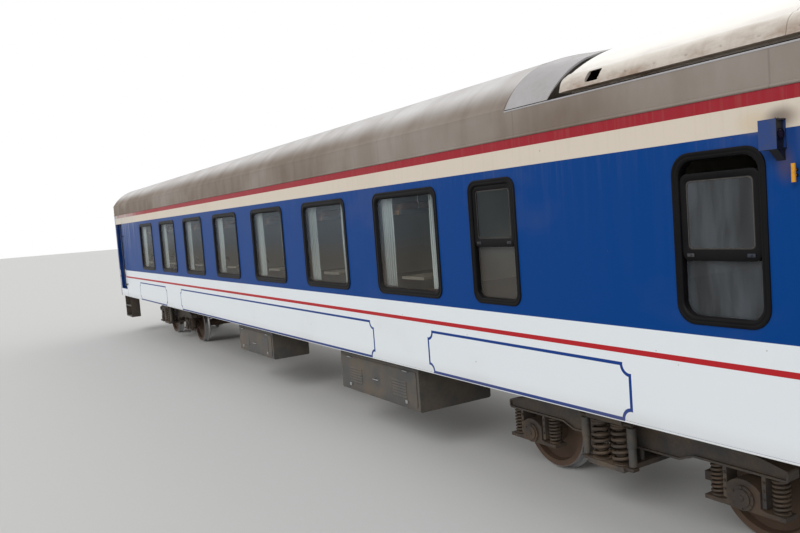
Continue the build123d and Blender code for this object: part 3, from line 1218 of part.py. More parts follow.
def save_interior():
    """Writes the walls, berths, tables and curtains inside."""
    save("interior_walls", *interior_walls())
    ceiling_y = (-INNER_HALF + 10, INNER_HALF - 10)
    save("ceiling", block((-END_INNER_X, END_INNER_X), ceiling_y, (CEILING_Z, CEILING_Z + CEILING)))
    save("berths", *[berth(x_span, height, BERTH_BOARD, 0) for x_span, height in berth_spans()])
    lift = BERTH_BOARD + SEAT
    mattresses = [berth(x_span, height + lift, MATTRESS, MATTRESS_INSET) for x_span, height in berth_spans()]
    save("mattresses", *mattresses)
    windows = [row[0] for row in window_table() if not row[3]]
    save("tables", *[table(x) for x in windows])
    save("curtains", *[curtain(x, edge) for x in windows for edge in BOTH])


def save_fittings():
    """Writes steps, rails, lamp brackets and the equipment below the floor."""
    corners = [(end, side) for end in BOTH for side in BOTH]
    save("entrance_steps", *[entrance_steps(end, side) for end, side in corners])
    rail = ((BODY_EDGE_Z + EDGE_RAIL_LOW, BODY_EDGE_Z + EDGE_RAIL_TOP), RAIL_RADIUS, RAIL_STANDOFF)
    save("handrails", *[grab_rail(end * RAIL_X, side, *rail) for end, side in corners])
    handle = ((BODY_EDGE_Z + EDGE_HANDLE_LOW, BODY_EDGE_Z + EDGE_HANDLE_TOP), HANDLE_RADIUS, HANDLE_STANDOFF)
    save("lamp_handles", *[grab_rail(HANDLE_X, side, *handle) for side in BOTH])
    save("lamp_boxes", *[lamp_box(side) for side in BOTH])
    save("water_tank", hung_cylinder((TANK_Y, TANK_Z), TANK_RADIUS, TANK_SPAN, TANK_STRAPS))
    reservoirs = [
        hung_cylinder((side * RESERVOIR_Y, RESERVOIR_Z), RESERVOIR_RADIUS, RESERVOIR_SPAN, RESERVOIR_STRAPS)
        for side in BOTH
    ]
    save("air_reservoirs", *reservoirs)
    batteries = [
        hung_box((x, x + BATTERY_LENGTH), side, CASE_DEPTH, BATTERY_LOW_Z)
        for side, x in BATTERY_STARTS
    ]
    save("battery_boxes", *batteries)
    save("equipment_case", hung_box(EQUIPMENT_SPAN, -1, EQUIPMENT_DEPTH, EQUIPMENT_LOW_Z))


def main():
    """Builds every node and writes it to its own file."""
    os.makedirs("parts", exist_ok=True)
    save_shell()
    save_ends()
    save_interior()
    save_fittings()


main()
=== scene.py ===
import logging
import math
from dataclasses import dataclass
from enum import IntEnum
from typing import Iterable, Optional, Sequence, Union

import bmesh
import bpy
from mathutils import Matrix, Vector


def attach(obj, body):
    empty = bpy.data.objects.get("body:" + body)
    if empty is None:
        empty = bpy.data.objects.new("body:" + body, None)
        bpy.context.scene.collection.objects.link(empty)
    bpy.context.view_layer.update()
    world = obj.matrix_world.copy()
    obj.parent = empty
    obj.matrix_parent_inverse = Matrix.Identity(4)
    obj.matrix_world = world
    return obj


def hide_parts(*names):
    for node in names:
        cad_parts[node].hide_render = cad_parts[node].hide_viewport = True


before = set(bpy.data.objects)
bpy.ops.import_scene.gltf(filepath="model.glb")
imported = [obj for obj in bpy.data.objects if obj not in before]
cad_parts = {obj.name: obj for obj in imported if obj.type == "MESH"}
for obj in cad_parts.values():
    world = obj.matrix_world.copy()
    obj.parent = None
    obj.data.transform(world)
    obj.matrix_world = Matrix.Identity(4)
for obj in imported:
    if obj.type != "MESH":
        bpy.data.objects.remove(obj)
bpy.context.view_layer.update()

LOG = logging.getLogger("sleeping_coach")

Colour = tuple[float, float, float, float]
Point = Sequence[float]
Pair = tuple[float, float]
Place = tuple[float, float, float]
WHITE: Colour = (1.0, 1.0, 1.0, 1.0)

# Main lines of the coach in metres, in its own frame
HALF_LENGTH = 10.0
HALF_WIDTH = 1.45
INNER_HALF = 1.39
EDGE_Z = 0.978
FLOOR_Z = 1.168
CANT_Z = 3.102
SILL_Z = 1.729
DOORWAY_X = 9.15
BOGIE_X = 7.0
AXLE_X = 1.1
AXLE_Z = 0.418
CEILING_Z = 3.268

# Both ways along an axis
BOTH = (-1, 1)

# How close two points are welded, and the angle in radians over which an edge is rounded
WELD = 1e-5
SHARP_ANGLE = 0.6


class End(IntEnum):
    """The two ends of the coach along X."""

    NEAR = 1
    FAR = -1


class Side(IntEnum):
    """The two sides of the coach along Y."""

    LEFT = -1
    RIGHT = 1


def rgb(red: int, green: int, blue: int) -> Colour:
    """Turns a screen colour into the linear one that shaders take.

    Args:
        red: Red from 0 to 255.
        green: Green from 0 to 255.
        blue: Blue from 0 to 255.

    Returns:
        The linear colour with full alpha.
    """
    linear = []
    for part in (red / 255, green / 255, blue / 255):
        linear.append(part / 12.92 if part <= 0.04045 else ((part + 0.055) / 1.055) ** 2.4)
    return (*linear, 1.0)


class Value:
    """A node's output that takes part in Python arithmetic."""

    def __init__(self, tree: "PaintTree", socket: bpy.types.NodeSocket) -> None:
        """Keeps the socket and the tree that it is in."""
        self.tree = tree
        self.socket = socket

    def _math(self, operation: str, first: "Number", second: "Number" = 0.0) -> "Value":
        """Adds one Math node and returns its result."""
        return self.tree.node("Math", {"operation": operation}, {0: first, 1: second})

    def __add__(self, other: "Number") -> "Value":
        """Adds a number or a value."""
        return self._math("ADD", self, other)

    __radd__ = __add__

    def __sub__(self, other: "Number") -> "Value":
        """Takes a number or a value away."""
        return self._math("SUBTRACT", self, other)

    def __rsub__(self, other: "Number") -> "Value":
        """Takes this value away from a number."""
        return self._math("SUBTRACT", other, self)

    def __mul__(self, other: "Number") -> "Value":
        """Multiplies by a number or a value."""
        return self._math("MULTIPLY", self, other)

    __rmul__ = __mul__

    def __truediv__(self, other: "Number") -> "Value":
        """Divides by a number or a value."""
        return self._math("DIVIDE", self, other)

    def __abs__(self) -> "Value":
        """Drops the sign."""
        return self._math("ABSOLUTE", self)

    def larger(self, other: "Number") -> "Value":
        """Keeps the larger of the two."""
        return self._math("MAXIMUM", self, other)

    def smaller(self, other: "Number") -> "Value":
        """Keeps the smaller of the two."""
        return self._math("MINIMUM", self, other)

    def root(self) -> "Value":
        """Takes the square root."""
        return self._math("SQRT", self)

    def sine(self) -> "Value":
        """Takes the sine."""
        return self._math("SINE", self)

    def rounded(self) -> "Value":
        """Rounds to a whole number."""
        return self._math("ROUND", self)

    def rise(self, edge: float, soft: float) -> "Value":
        """Goes smoothly from 0 below the edge to 1 above it.

        Args:
            edge: The value at the middle of the step.
            soft: Half the width of the step.

        Returns:
            The mask from 0 to 1.
        """
        sockets = {"Value": self, "From Min": edge - soft, "From Max": edge + soft}
        return self.tree.node("MapRange", {"interpolation_type": "SMOOTHSTEP"}, sockets)

    def band(self, low: float, high: float, soft: float) -> "Value":
        """Is 1 between two values and 0 outside them.

        Args:
            low: The lower edge.
            high: The upper edge.
            soft: Half the width of each step.

        Returns:
            The mask from 0 to 1.
        """
        return self.rise(low, soft) * (1 - self.rise(high, soft))


Number = Union[float, Value]
Tint = Union[Colour, Value]
Triple = tuple[Value, Value, Value]


class PaintTree:
    """The nodes of one material, or of the world."""

    def __init__(self, owner: Union[bpy.types.Material, bpy.types.World]) -> None:
        """Empties a node tree, so that it can be filled.

        Args:
            owner: The material or world whose tree it is.
        """
        owner.use_nodes = True
        self.tree = owner.node_tree
        self.tree.nodes.clear()

    def node(
        self, kind: str, settings: Optional[dict] = None, sockets: Optional[dict] = None, output: int = 0,
    ) -> Value:
        """Adds one node.

        Args:
            kind: The node's type without its ShaderNode prefix.
            settings: Its settings, such as a Math node's operation.
            sockets: The values or links of its sockets, by name or number.
            output: Which output is returned.

        Returns:
            The chosen output as a value.
        """
        made = self.tree.nodes.new("ShaderNode" + kind)
        for key, setting in (settings or {}).items():
            setattr(made, key, setting)
        for key, given in (sockets or {}).items():
            if isinstance(given, Value):
                self.tree.links.new(given.socket, made.inputs[key])
            else:
                made.inputs[key].default_value = given
        return Value(self, made.outputs[output] if len(made.outputs) else None)

    def outputs(self, value: Value, *keys: Union[int, str]) -> tuple[Value, ...]:
        """Other outputs of the node that a value comes from, by name or number."""
        return tuple(Value(self, value.socket.node.outputs[key]) for key in keys)

    def split(self, vector: Value) -> Triple:
        """The three parts of a vector."""
        return self.outputs(self.node("SeparateXYZ", None, {0: vector}), 0, 1, 2)

    def point(self) -> Value:
        """The place on the object, in metres."""
        return self.node("TexCoord", output=3)

    def axes(self) -> Triple:
        """The place on the object as three values."""
        return self.split(self.point())

    def facing(self) -> Triple:
        """The surface's own direction as three values."""
        return self.split(self.node("TexCoord", output=1))

    def noise(
        self, scale: float, stretch: Point = (1.0, 1.0, 1.0), detail: float = 4.0,
        turn: Point = (0.0, 0.0, 0.0), rough: float = 0.55,
    ) -> Value:
        """A cloudy pattern, drawn out along an axis where its stretch is small.

        Args:
            scale: How many clouds there are to a metre.
            stretch: The scale along each axis.
            detail: How many finer layers it has.
            turn: The pattern's rotation in radians.
            rough: How strong the finer layers are.

        Returns:
            The pattern from 0 to 1.
        """
        place = self.node("Mapping", None, {"Vector": self.point(), "Scale": stretch, "Rotation": turn})
        sockets = {"Vector": place, "Scale": scale, "Detail": detail, "Roughness": rough}
        return self.node("TexNoise", None, sockets)

    def patch(self, first: Value, second: Value, middle: Point, reach: Point, soft: float) -> Value:
        """A soft oval spot.

        Args:
            first: The place along one axis.
            second: The place along the other.
            middle: The spot's middle.
            reach: Its half length and half height.
            soft: How soft its edge is, as a share of its reach.

        Returns:
            The mask, 1 inside the spot.
        """
        aside, up = (first - middle[0]) / reach[0], (second - middle[1]) / reach[1]
        return 1 - (aside * aside + up * up).root().rise(0.9, soft)

    def blend(self, factor: Number, under: Tint, over: Tint) -> Value:
        """Lays one colour over another by a factor."""
        return self.node("Mix", {"data_type": "RGBA"}, {0: factor, 6: under, 7: over}, output=2)

    def surface(
        self, colour: Tint, roughness: Number, height: Optional[Value] = None,
        relief: float = 0.001, strength: float = 0.6, **constants: Number,
    ) -> None:
        """Ends the tree in one principled shader.

        Args:
            colour: The base colour.
            roughness: The roughness.
            height: The pattern that the bumps follow, if there are any.
            relief: How high those bumps are, in metres.
            strength: How much of them shows.
            constants: Further sockets, with a space written as an underscore.
        """
        sockets = {"Base Color": colour, "Roughness": roughness}
        if height is not None:
            bump = {"Strength": strength, "Distance": relief, "Height": height}
            sockets["Normal"] = self.node("Bump", None, bump)
        sockets.update({key.replace("_", " "): given for key, given in constants.items()})
        self.end(self.node("BsdfPrincipled", None, sockets))

    def end(self, shader: Value, kind: str = "OutputMaterial") -> None:
        """Joins a shader to the output of the material or the world."""
        self.node(kind, None, {"Surface": shader})


@dataclass(frozen=True)
class Finish:
    """A surface finish, and the record's slot that it belongs to."""

    slot: str

    def build(self, tree: PaintTree) -> None:
        """Makes the nodes in the material's empty tree."""
        raise NotImplementedError

    def material(self) -> bpy.types.Material:
        """The finish as a material, made the first time it is asked for.

        Returns:
            The material.
        """
        name = f"{type(self).__name__}_{self.slot}"
        found = bpy.data.materials.get(name)
        if found is None:
            found = bpy.data.materials.new(name)
            self.build(PaintTree(found))
        return found


@dataclass(frozen=True)
class BodyPaint(Finish):
    """The banded side paint, with its stripes, thin navy borders and rain streaks."""

    slot: str = "body_paint"
    white: Colour = rgb(224, 229, 233)
    blue: Colour = rgb(0, 60, 128)
    cream: Colour = rgb(212, 201, 186)
    red: Colour = rgb(152, 40, 50)
    stripe: Colour = rgb(176, 38, 44)
    navy: Colour = rgb(24, 60, 130)
    inner: Colour = rgb(6, 46, 104)
    dust: Colour = rgb(150, 136, 116)
    pale: Colour = rgb(196, 196, 192)
    rust: Colour = rgb(92, 66, 44)
    yellowing: Colour = rgb(196, 164, 96)
    soot: Colour = rgb(92, 72, 56)
    blue_from: float = 0.684
    cream_from: float = 1.888
    red_from: float = 2.04
    stripe_span: Pair = (0.495, 0.533)
    sharp: float = 0.001
    fields: tuple[Pair, ...] = ((0.0, 4.0), (6.395, 1.28))
    field_middle: float = 0.2185
    field_half: float = 0.1985
    line_half: float = 0.0125
    notch: float = 0.075

    def border(self, across: Value, height: Value) -> Value:
        """The lines of the long bordered fields below the windows.

        Args:
            across: The place along the coach.
            height: The height above the body's foot.

        Returns:
            The mask, 1 on the lines.
        """
        mask: Number = 0.0
        for centre, half in self.fields:
            side = abs(abs(across) - centre) - half
            up = abs(height - self.field_middle) - self.field_half
            corner = self.notch - (side * side + up * up).root()
            edge = abs(side.larger(up).larger(corner))
            mask = (1 - edge.rise(self.line_half, 0.0012)).larger(mask)
        return mask

    def bands(self, tree: PaintTree, across: Value, height: Value) -> Value:
        """The clean paint by its height above the body's bottom edge.

        Args:
            tree: The material's nodes.
            across: The place along the coach.
            height: The height above the body's foot.

        Returns:
            The colour.
        """
        colour = tree.blend(height.rise(self.blue_from, self.sharp), self.white, self.blue)
        colour = tree.blend(height.rise(self.cream_from, self.sharp), colour, self.cream)
        colour = tree.blend(height.rise(self.red_from, self.sharp), colour, self.red)
        colour = tree.blend(height.band(*self.stripe_span, self.sharp), colour, self.stripe)
        return tree.blend(self.border(across, height), colour, self.navy)

    def smudge(self, tree: PaintTree, across: Value, height: Value, clouds: Value) -> Value:
        """The soot round the top of the marker lamp, and a dark patch under it.

        Args:
            tree: The material's nodes.
            across: The place along the coach.
            height: The height above the body's foot.
            clouds: The cloudy pattern that breaks it up.

        Returns:
            The mask, 1 where it is thickest.
        """
        lamp = tree.patch(across, height, (8.86, 1.955), (0.085, 0.05), 0.7)
        # a dark brown patch under the lamp, in the same colour
        below = tree.patch(across, height, (8.87, 1.69), (0.05, 0.09), 0.7)
        return ((lamp * 0.6).larger(below * 0.4) * (0.5 + clouds)).smaller(0.8)

    def build(self, tree: PaintTree) -> None:
        """Makes the nodes.

        Args:
            tree: The empty tree.
        """
        across, _, z = tree.axes()
        height = z - EDGE_Z
        _, out, _ = tree.facing()
        colour = self.bands(tree, across, height)
        colour = tree.blend(abs(out).rise(0.6, 0.05), self.inner, colour)
        clouds = tree.noise(0.8, (1.0, 1.0, 1.6), 3.0)
        runs = tree.noise(9.0, (1.0, 1.0, 0.06), 3.0).rise(0.58, 0.09)
        fine_runs = tree.noise(34.0, (1.0, 1.0, 0.03), 2.0).rise(0.60, 0.08)
        under_cant = height.rise(1.35, 0.75)
        far_end = 1 - across.rise(-7.6, 1.3)
        drips = tree.noise(22.0, (1.0, 1.0, 0.05), 2.0).rise(0.52, 0.12) * height.rise(1.95, 0.35)
        faded = far_end * height.rise(1.95, 0.12) * 0.35
        washed = (runs * 0.6 + fine_runs * 0.4 + drips) * under_cant * (0.012 + far_end * 0.5) + faded
        colour = tree.blend(washed, colour, self.pale)
        sooty = fine_runs * height.rise(2.0, 0.5) * clouds * 0.18
        bottom = (1 - height.rise(0.07, 0.07)) * clouds
        stained = (sooty + bottom * 0.28 + clouds.rise(0.62, 0.1) * 0.05).smaller(0.8)
        colour = tree.blend(stained, colour, self.dust)
        specks = tree.node("TexVoronoi", None, {"Vector": tree.point(), "Scale": 6.5})
        spots = (1 - specks.rise(0.035, 0.012)) * clouds.rise(0.5, 0.1)
        colour = tree.blend(spots * 0.7, colour, self.rust)
        yellowed = tree.patch(across, height, (8.70, 1.945), (0.10, 0.06), 0.6)
        colour = tree.blend(yellowed * 0.35 * clouds, colour, self.yellowing)
        colour = tree.blend(self.smudge(tree, across, height, clouds), colour, self.soot)
        wave = tree.noise(1.1, (1.0, 1.0, 1.8), 2.0) + tree.noise(90.0, detail=2.0) * 0.02
        roughness = 0.36 + clouds * 0.12 + stained * 0.5 + washed * 0.4
        tree.surface(colour, roughness, wave, 0.004, 0.35, Specular_IOR_Level=0.08)


@dataclass(frozen=True)
class EndPaint(Finish):
    """Plain dark blue of the end walls and doorways, with brake dust and soot."""

    slot: str = "body_paint"
    paint: Colour = rgb(6, 46, 104)
    faded: Colour = rgb(22, 66, 124)
    grime: Colour = rgb(66, 58, 50)

    def build(self, tree: PaintTree) -> None:
        """Makes the nodes.

        Args:
            tree: The empty tree.
        """
        _, _, z = tree.axes()
        clouds = tree.noise(2.2, (1.0, 1.0, 0.5), 5.0)
        runs = tree.noise(16.0, (1.0, 1.0, 0.05), 3.0).rise(0.55, 0.1)
        low = 1 - (z - EDGE_Z).rise(0.5, 0.6)
        stained = (runs * 0.25 + low * clouds * 0.8).smaller(0.85)
        colour = tree.blend(clouds * 0.25, self.paint, self.faded)
        colour = tree.blend(stained, colour, self.grime)
        tree.surface(colour, 0.36 + stained * 0.4, clouds, 0.002, 0.4, Specular_IOR_Level=0.15)


@dataclass(frozen=True)
class LampPaint(Finish):
    """Blue housing of the marker lamp, black on its bracket and on its lens side, where the black is soot and
    the painted shade of a hollow.
    """

    slot: str = "body_paint"
    paint: Colour = rgb(14, 52, 112)
    black: Colour = rgb(14, 14, 20)
    rubbed: Colour = rgb(60, 60, 66)
    foot_z: float = 2.754

    def build(self, tree: PaintTree) -> None:
        """Makes the nodes.

        Args:
            tree: The empty tree.
        """
        _, _, z = tree.axes()
        forward, _, _ = tree.facing()
        clouds = tree.noise(14.0)
        # soot and painted shade: the lens side is black as if hollow; below the foot the bracket is black
        dark = forward.rise(0.6, 0.1).larger(1 - z.rise(self.foot_z, 0.001))
        colour = tree.blend(dark, self.paint, self.black)
        colour = tree.blend((1 - dark) * clouds.rise(0.55, 0.1) * 0.3, colour, self.rubbed)
        tree.surface(colour, 0.42 + clouds * 0.15, clouds, 0.001, 0.4)


@dataclass(frozen=True)
class HandlePaint(Finish):
    """Chipped yellow grip of the lamp handles on black stand-offs, whose black also paints the shade behind
    the grip.
    """

    slot: str = "handle_yellow"
    yellow: Colour = rgb(214, 148, 30)
    worn: Colour = rgb(140, 98, 40)
    black: Colour = rgb(20, 20, 24)
    grip_y: float = 1.469

    def build(self, tree: PaintTree) -> None:
        """Makes the nodes.

        Args:
            tree: The empty tree.
        """
        _, y, _ = tree.axes()
        clouds = tree.noise(18.0, detail=5.0)
        rubbed = clouds.rise(0.56, 0.08)
        colour = tree.blend(rubbed * 0.5, self.yellow, self.worn)
        # painted shade: all that lies nearer the wall than the grip is black
        colour = tree.blend(abs(y).rise(self.grip_y, 0.001), self.black, colour)
        tree.surface(colour, 0.40 + rubbed * 0.2, clouds, 0.0006, 0.4)


@dataclass(frozen=True)
class RoofPaint(Finish):
    """Weathered grey roof, browned by brake dust, with slanting rain marks.

    The heights are those of the fold, the shoulder paled by chalking and a painted sheen, and the top, toned
    down as painted shade.
    """

    slot: str = "roof_paint"
    paint: Colour = rgb(158, 151, 144)
    brown: Colour = rgb(112, 98, 86)
    chalk_and_sheen: Colour = rgb(226, 225, 225)
    painted_top_shade: Colour = rgb(152, 148, 143)
    rust: Colour = rgb(104, 70, 44)
    joint: Colour = rgb(84, 76, 68)
    fold_z: float = 3.35
    foot_z: float = 3.40
    shoulder_z: float = 3.49
    top_z: float = 3.77
    seam_pitch: float = 2.2

    def build(self, tree: PaintTree) -> None:
        """Makes the nodes.

        Args:
            tree: The empty tree.
        """
        across, _, z = tree.axes()
        clouds = tree.noise(0.9, (0.6, 1.0, 1.0), 6.0)
        slant = tree.noise(3.2, (0.8, 0.4, 0.30), 6.0, (0.0, 0.6, 0.0)).rise(0.52, 0.2)
        runs = tree.noise(14.0, (1.0, 0.1, 0.06)).rise(0.60, 0.12)
        low = 1 - z.rise(self.foot_z, 0.28)
        top = z.rise(self.top_z, 0.07)
        high = z.rise(self.shoulder_z, 0.12)
        fold = z.rise(self.fold_z, 0.06) * (1 - high)
        # chalking and a painted sheen pale the shoulder and all above it
        colour = tree.blend(high * (0.6 + clouds * 0.4), self.paint, self.chalk_and_sheen)
        # painted shade: the top is toned down against the strong light that falls on it
        colour = tree.blend(top * 0.75, colour, self.painted_top_shade)
        smears = tree.noise(0.55, (0.6, 0.5, 1.4), turn=(0.0, 0.5, 0.0)).rise(0.5, 0.12)
        # the painted sheen also thins the smears and the browning on the shoulder
        marks = slant * 0.26 + smears * (0.36 - high * 0.26) + runs * 0.04
        browned = (marks + low * 0.30 + fold * 0.24 + clouds * (0.16 - high * 0.1)).smaller(0.9)
        colour = tree.blend(browned, colour, self.brown)
        spots = tree.noise(7.0, detail=8.0, rough=0.7).rise(0.70, 0.04)
        colour = tree.blend(spots * 0.5, colour, self.rust)
        sheet = across / self.seam_pitch
        seam = 1 - abs(sheet - sheet.rounded()).rise(0.0025, 0.0015)
        colour = tree.blend(seam * 0.25, colour, self.joint)
        wave = tree.noise(1.6, (0.8, 1.0, 1.0), 3.0) + slant * 0.05 - seam * 0.15
        tree.surface(colour, 0.54 + browned * 0.25, wave, 0.006, 0.35, Specular_IOR_Level=0.3)


@dataclass(frozen=True)
class UnitGelcoat(Finish):
    """Cream-white moulded cover, brown with dust along its foot."""

    slot: str = "unit_gelcoat"
    white: Colour = rgb(232, 228, 219)
    dust: Colour = rgb(140, 116, 98)
    foot_z: float = 3.46

    def build(self, tree: PaintTree) -> None:
        """Makes the nodes.

        Args:
            tree: The empty tree.
        """
        _, _, z = tree.axes()
        clouds = tree.noise(1.8, (0.5, 1.0, 1.0), 5.0)
        foot = 1 - z.rise(self.foot_z, 0.10)
        blots = tree.noise(5.0, (0.5, 1.0, 1.0), 6.0, rough=0.65).rise(0.56, 0.16)
        runs = tree.noise(12.0, (1.0, 0.12, 0.08), 3.0).rise(0.60, 0.12)
        soiled = (foot * 0.5 + foot * blots * 0.4 + runs * foot * 0.10 + blots * 0.08).smaller(0.9)
        colour = tree.blend(soiled, self.white, self.dust)
        grain = tree.noise(240.0, detail=2.0) * 0.06 + tree.noise(2.4, detail=2.0)
        tree.surface(colour, 0.30 + soiled * 0.45, grain, 0.003, 0.35)


@dataclass(frozen=True)
class DullRubber(Finish):
    """Black rubber or black enamel with a bloom of dust."""

    slot: str = "window_rubber"
    black: Colour = rgb(10, 9, 12)
    bloom: Colour = rgb(34, 31, 31)
    amount: float = 0.22

    def build(self, tree: PaintTree) -> None:
        """Makes the nodes.

        Args:
            tree: The empty tree.
        """
        clouds = tree.noise(5.0, (1.0, 1.0, 0.7), 5.0)
        _, _, up = tree.facing()
        lying = up.rise(0.55, 0.3)
        dusty = (clouds.rise(0.5, 0.18) * self.amount + lying * 0.4).smaller(0.8)
        colour = tree.blend(dusty, self.black, self.bloom)
        grain = tree.noise(320.0, detail=2.0)
        tree.surface(colour, 0.44 + dusty * 0.35, grain, 0.0004, 0.4, Specular_IOR_Level=0.1)


@dataclass(frozen=True)
class WindowGlass(Finish):
    """Tinted safety glass with a film of dust, frosted in the washroom, and a painted sky reflection on the
    upper part of the film.

    The spans along the coach are those of the frosted and the filmed window.
    """

    slot: str = "window_glass"
    tint: Colour = (0.90, 0.93, 0.93, 1.0)
    dust: Colour = rgb(124, 112, 102)
    sky: Colour = rgb(108, 118, 132)
    frost: Colour = rgb(84, 90, 96)
    shadow: Colour = rgb(44, 46, 48)
    haze: Colour = rgb(96, 100, 102)
    frosted_span: Pair = (8.05, 8.85)
    filmed_span: Pair = (5.95, 6.55)
    sash_height: float = 0.53

    def build(self, tree: PaintTree) -> None:
        """Makes the nodes.

        Args:
            tree: The empty tree.
        """
        across, _, z = tree.axes()
        clouds = tree.noise(3.0)
        runs = tree.noise(26.0, (1.0, 1.0, 0.06), 3.0).rise(0.6, 0.1)
        washroom = across.band(*self.frosted_span, 0.001)
        streaks = tree.noise(5.5, (1.0, 1.0, 0.22), 3.0).rise(0.5, 0.16)
        frosted = tree.blend(streaks, self.shadow, self.frost)
        height = z - SILL_Z
        lower_pane = across.band(*self.filmed_span, 0.001) * (1 - height.rise(self.sash_height, 0.02))
        # painted reflection: the film goes from dust colour low down to a blue-grey sky reflection higher up
        film_and_sky_reflection = tree.blend(height.rise(0.5, 0.2), self.dust, self.sky)
        colour = tree.blend(washroom, tree.blend(clouds * 0.5, film_and_sky_reflection, self.haze), frosted)
        film = {
            "Base Color": colour,
            "Roughness": 0.07 + clouds * 0.04 + washroom * 0.35,
            "Specular IOR Level": 0.5,
            "Normal": tree.node("Bump", None, {"Strength": 0.12, "Distance": 0.002, "Height": clouds}),
        }
        gloss = tree.node("BsdfPrincipled", None, film)
        clear = tree.node("BsdfTransparent", None, {"Color": self.tint})
        mirror = tree.node("Fresnel", None, {"IOR": 1.16})
        bottom = 1 - height.rise(0.1, 0.12)
        film_share = 0.03 + clouds * 0.05 + runs * 0.02 + bottom * 0.05
        film_share = film_share + lower_pane * 0.14 + washroom * 0.55
        solid = (mirror * 0.30 + film_share).smaller(1.0)
        tree.end(tree.node("MixShader", None, {0: solid, 1: clear, 2: gloss}))


@dataclass(frozen=True)
class WornPaint(Finish):
    """Paint over metal or board, with dirt in clouds and a few bare spots."""

    paint: Colour = rgb(40, 40, 42)
    dirt: Colour = rgb(84, 72, 60)
    bare: Colour = rgb(110, 84, 62)
    roughness: float = 0.5
    dirty: float = 0.5
    chipped: float = 0.3
    scale: float = 4.0
    metallic: float = 0.0
    relief: float = 0.0012

    def build(self, tree: PaintTree) -> None:
        """Makes the nodes.

        Args:
            tree: The empty tree.
        """
        clouds = tree.noise(self.scale, detail=6.0)
        fine = tree.noise(self.scale * 9, detail=5.0, rough=0.65)
        _, _, up = tree.facing()
        lying = up.rise(0.6, 0.25)
        patches = (clouds * 0.7 + fine * 0.3).rise(0.52, 0.16)
        soiled = (patches * self.dirty + lying * self.dirty * 0.5).smaller(0.9)
        colour = tree.blend(soiled, self.paint, self.dirt)
        chips = (fine * 0.6 + clouds * 0.4).rise(0.66, 0.03) * self.chipped
        colour = tree.blend(chips, colour, self.bare)
        rough = self.roughness + soiled * 0.25 + fine * 0.08
        tree.surface(colour, rough, fine + clouds * 0.6, self.relief, 0.5, Metallic=self.metallic)


@dataclass(frozen=True)
class WheelSteel(Finish):
    """A bright rolled tread and flange on a rusty wheel, hub and axle."""

    slot: str = "wheel_steel"
    bright: Colour = rgb(176, 176, 178)
    rust: Colour = rgb(74, 56, 44)
    flaked: Colour = rgb(104, 84, 66)
    dulled: Colour = rgb(120, 116, 112)
    tread_radius: float = 0.376
    tread_span: Pair = (0.468, 0.586)

    def build(self, tree: PaintTree) -> None:
        """Makes the nodes.

        Args:
            tree: The empty tree.
        """
        across, y, z = tree.axes()
        along = abs(abs(abs(across) - BOGIE_X) - AXLE_X)
        lift = z - AXLE_Z
        radius = (along * along + lift * lift).root()
        clouds = tree.noise(9.0, detail=6.0)
        tread = radius.rise(self.tread_radius, 0.003) * abs(y).band(*self.tread_span, 0.006)
        worn = tree.noise(60.0, (1.0, 6.0, 1.0), 3.0)
        colour = tree.blend(clouds * 0.6, self.rust, self.flaked)
        colour = tree.blend(tread, colour, tree.blend(worn * 0.5, self.bright, self.dulled))
        rough = 0.72 - tread * 0.46 + clouds * 0.08
        tree.surface(colour, rough, clouds + worn * 0.2, 0.001, 0.5, Metallic=tread * 0.85 + 0.1)


@dataclass(frozen=True)
class Laminate(Finish):
    """Smooth panel with a faint print and scuffs low down."""

    slot: str = "wall_laminate"
    sheet: Colour = rgb(196, 192, 180)
    low: Colour = rgb(138, 136, 130)
    scuff: Colour = rgb(96, 88, 78)
    printed: Colour = rgb(226, 222, 212)
    split: float = 0.72

    def build(self, tree: PaintTree) -> None:
        """Makes the nodes.

        Args:
            tree: The empty tree.
        """
        _, _, z = tree.axes()
        clouds = tree.noise(3.0)
        figure = tree.noise(46.0, (1.0, 1.0, 0.25), 3.0)
        height = z - FLOOR_Z
        colour = tree.blend(height.rise(self.split, 0.002), self.low, self.sheet)
        colour = tree.blend(figure * 0.22, colour, self.printed)
        worn = (1 - height.rise(0.25, 0.2)) * clouds.rise(0.45, 0.15)
        colour = tree.blend(worn * 0.5, colour, self.scuff)
        tree.surface(colour, 0.34 + figure * 0.08 + worn * 0.2, figure, 0.0003, 0.3)


@dataclass(frozen=True)
class Leather(Finish):
    """Grained artificial leather of the berths, creased and polished by use."""

    slot: str = "berth_leather"
    hide: Colour = rgb(118, 78, 52)
    worn: Colour = rgb(150, 108, 78)
    pore: Colour = rgb(70, 44, 30)
    grain: float = 260.0

    def build(self, tree: PaintTree) -> None:
        """Makes the nodes.

        Args:
            tree: The empty tree.
        """
        sockets = {"Vector": tree.point(), "Scale": self.grain}
        grain = tree.node("TexVoronoi", {"feature": "DISTANCE_TO_EDGE"}, sockets)
        clouds = tree.noise(4.0)
        _, _, up = tree.facing()
        rubbed = up.rise(0.8, 0.1) * clouds.rise(0.5, 0.15)
        colour = tree.blend(rubbed * 0.5, self.hide, self.worn)
        cells = grain.rise(0.06, 0.05)
        colour = tree.blend((1 - cells) * 0.35, colour, self.pore)
        creases = tree.noise(16.0, (0.4, 1.0, 1.0), 3.0)
        tree.surface(colour, 0.46 - rubbed * 0.12 + clouds * 0.06, cells * 0.4 + creases, 0.0009, 0.5)


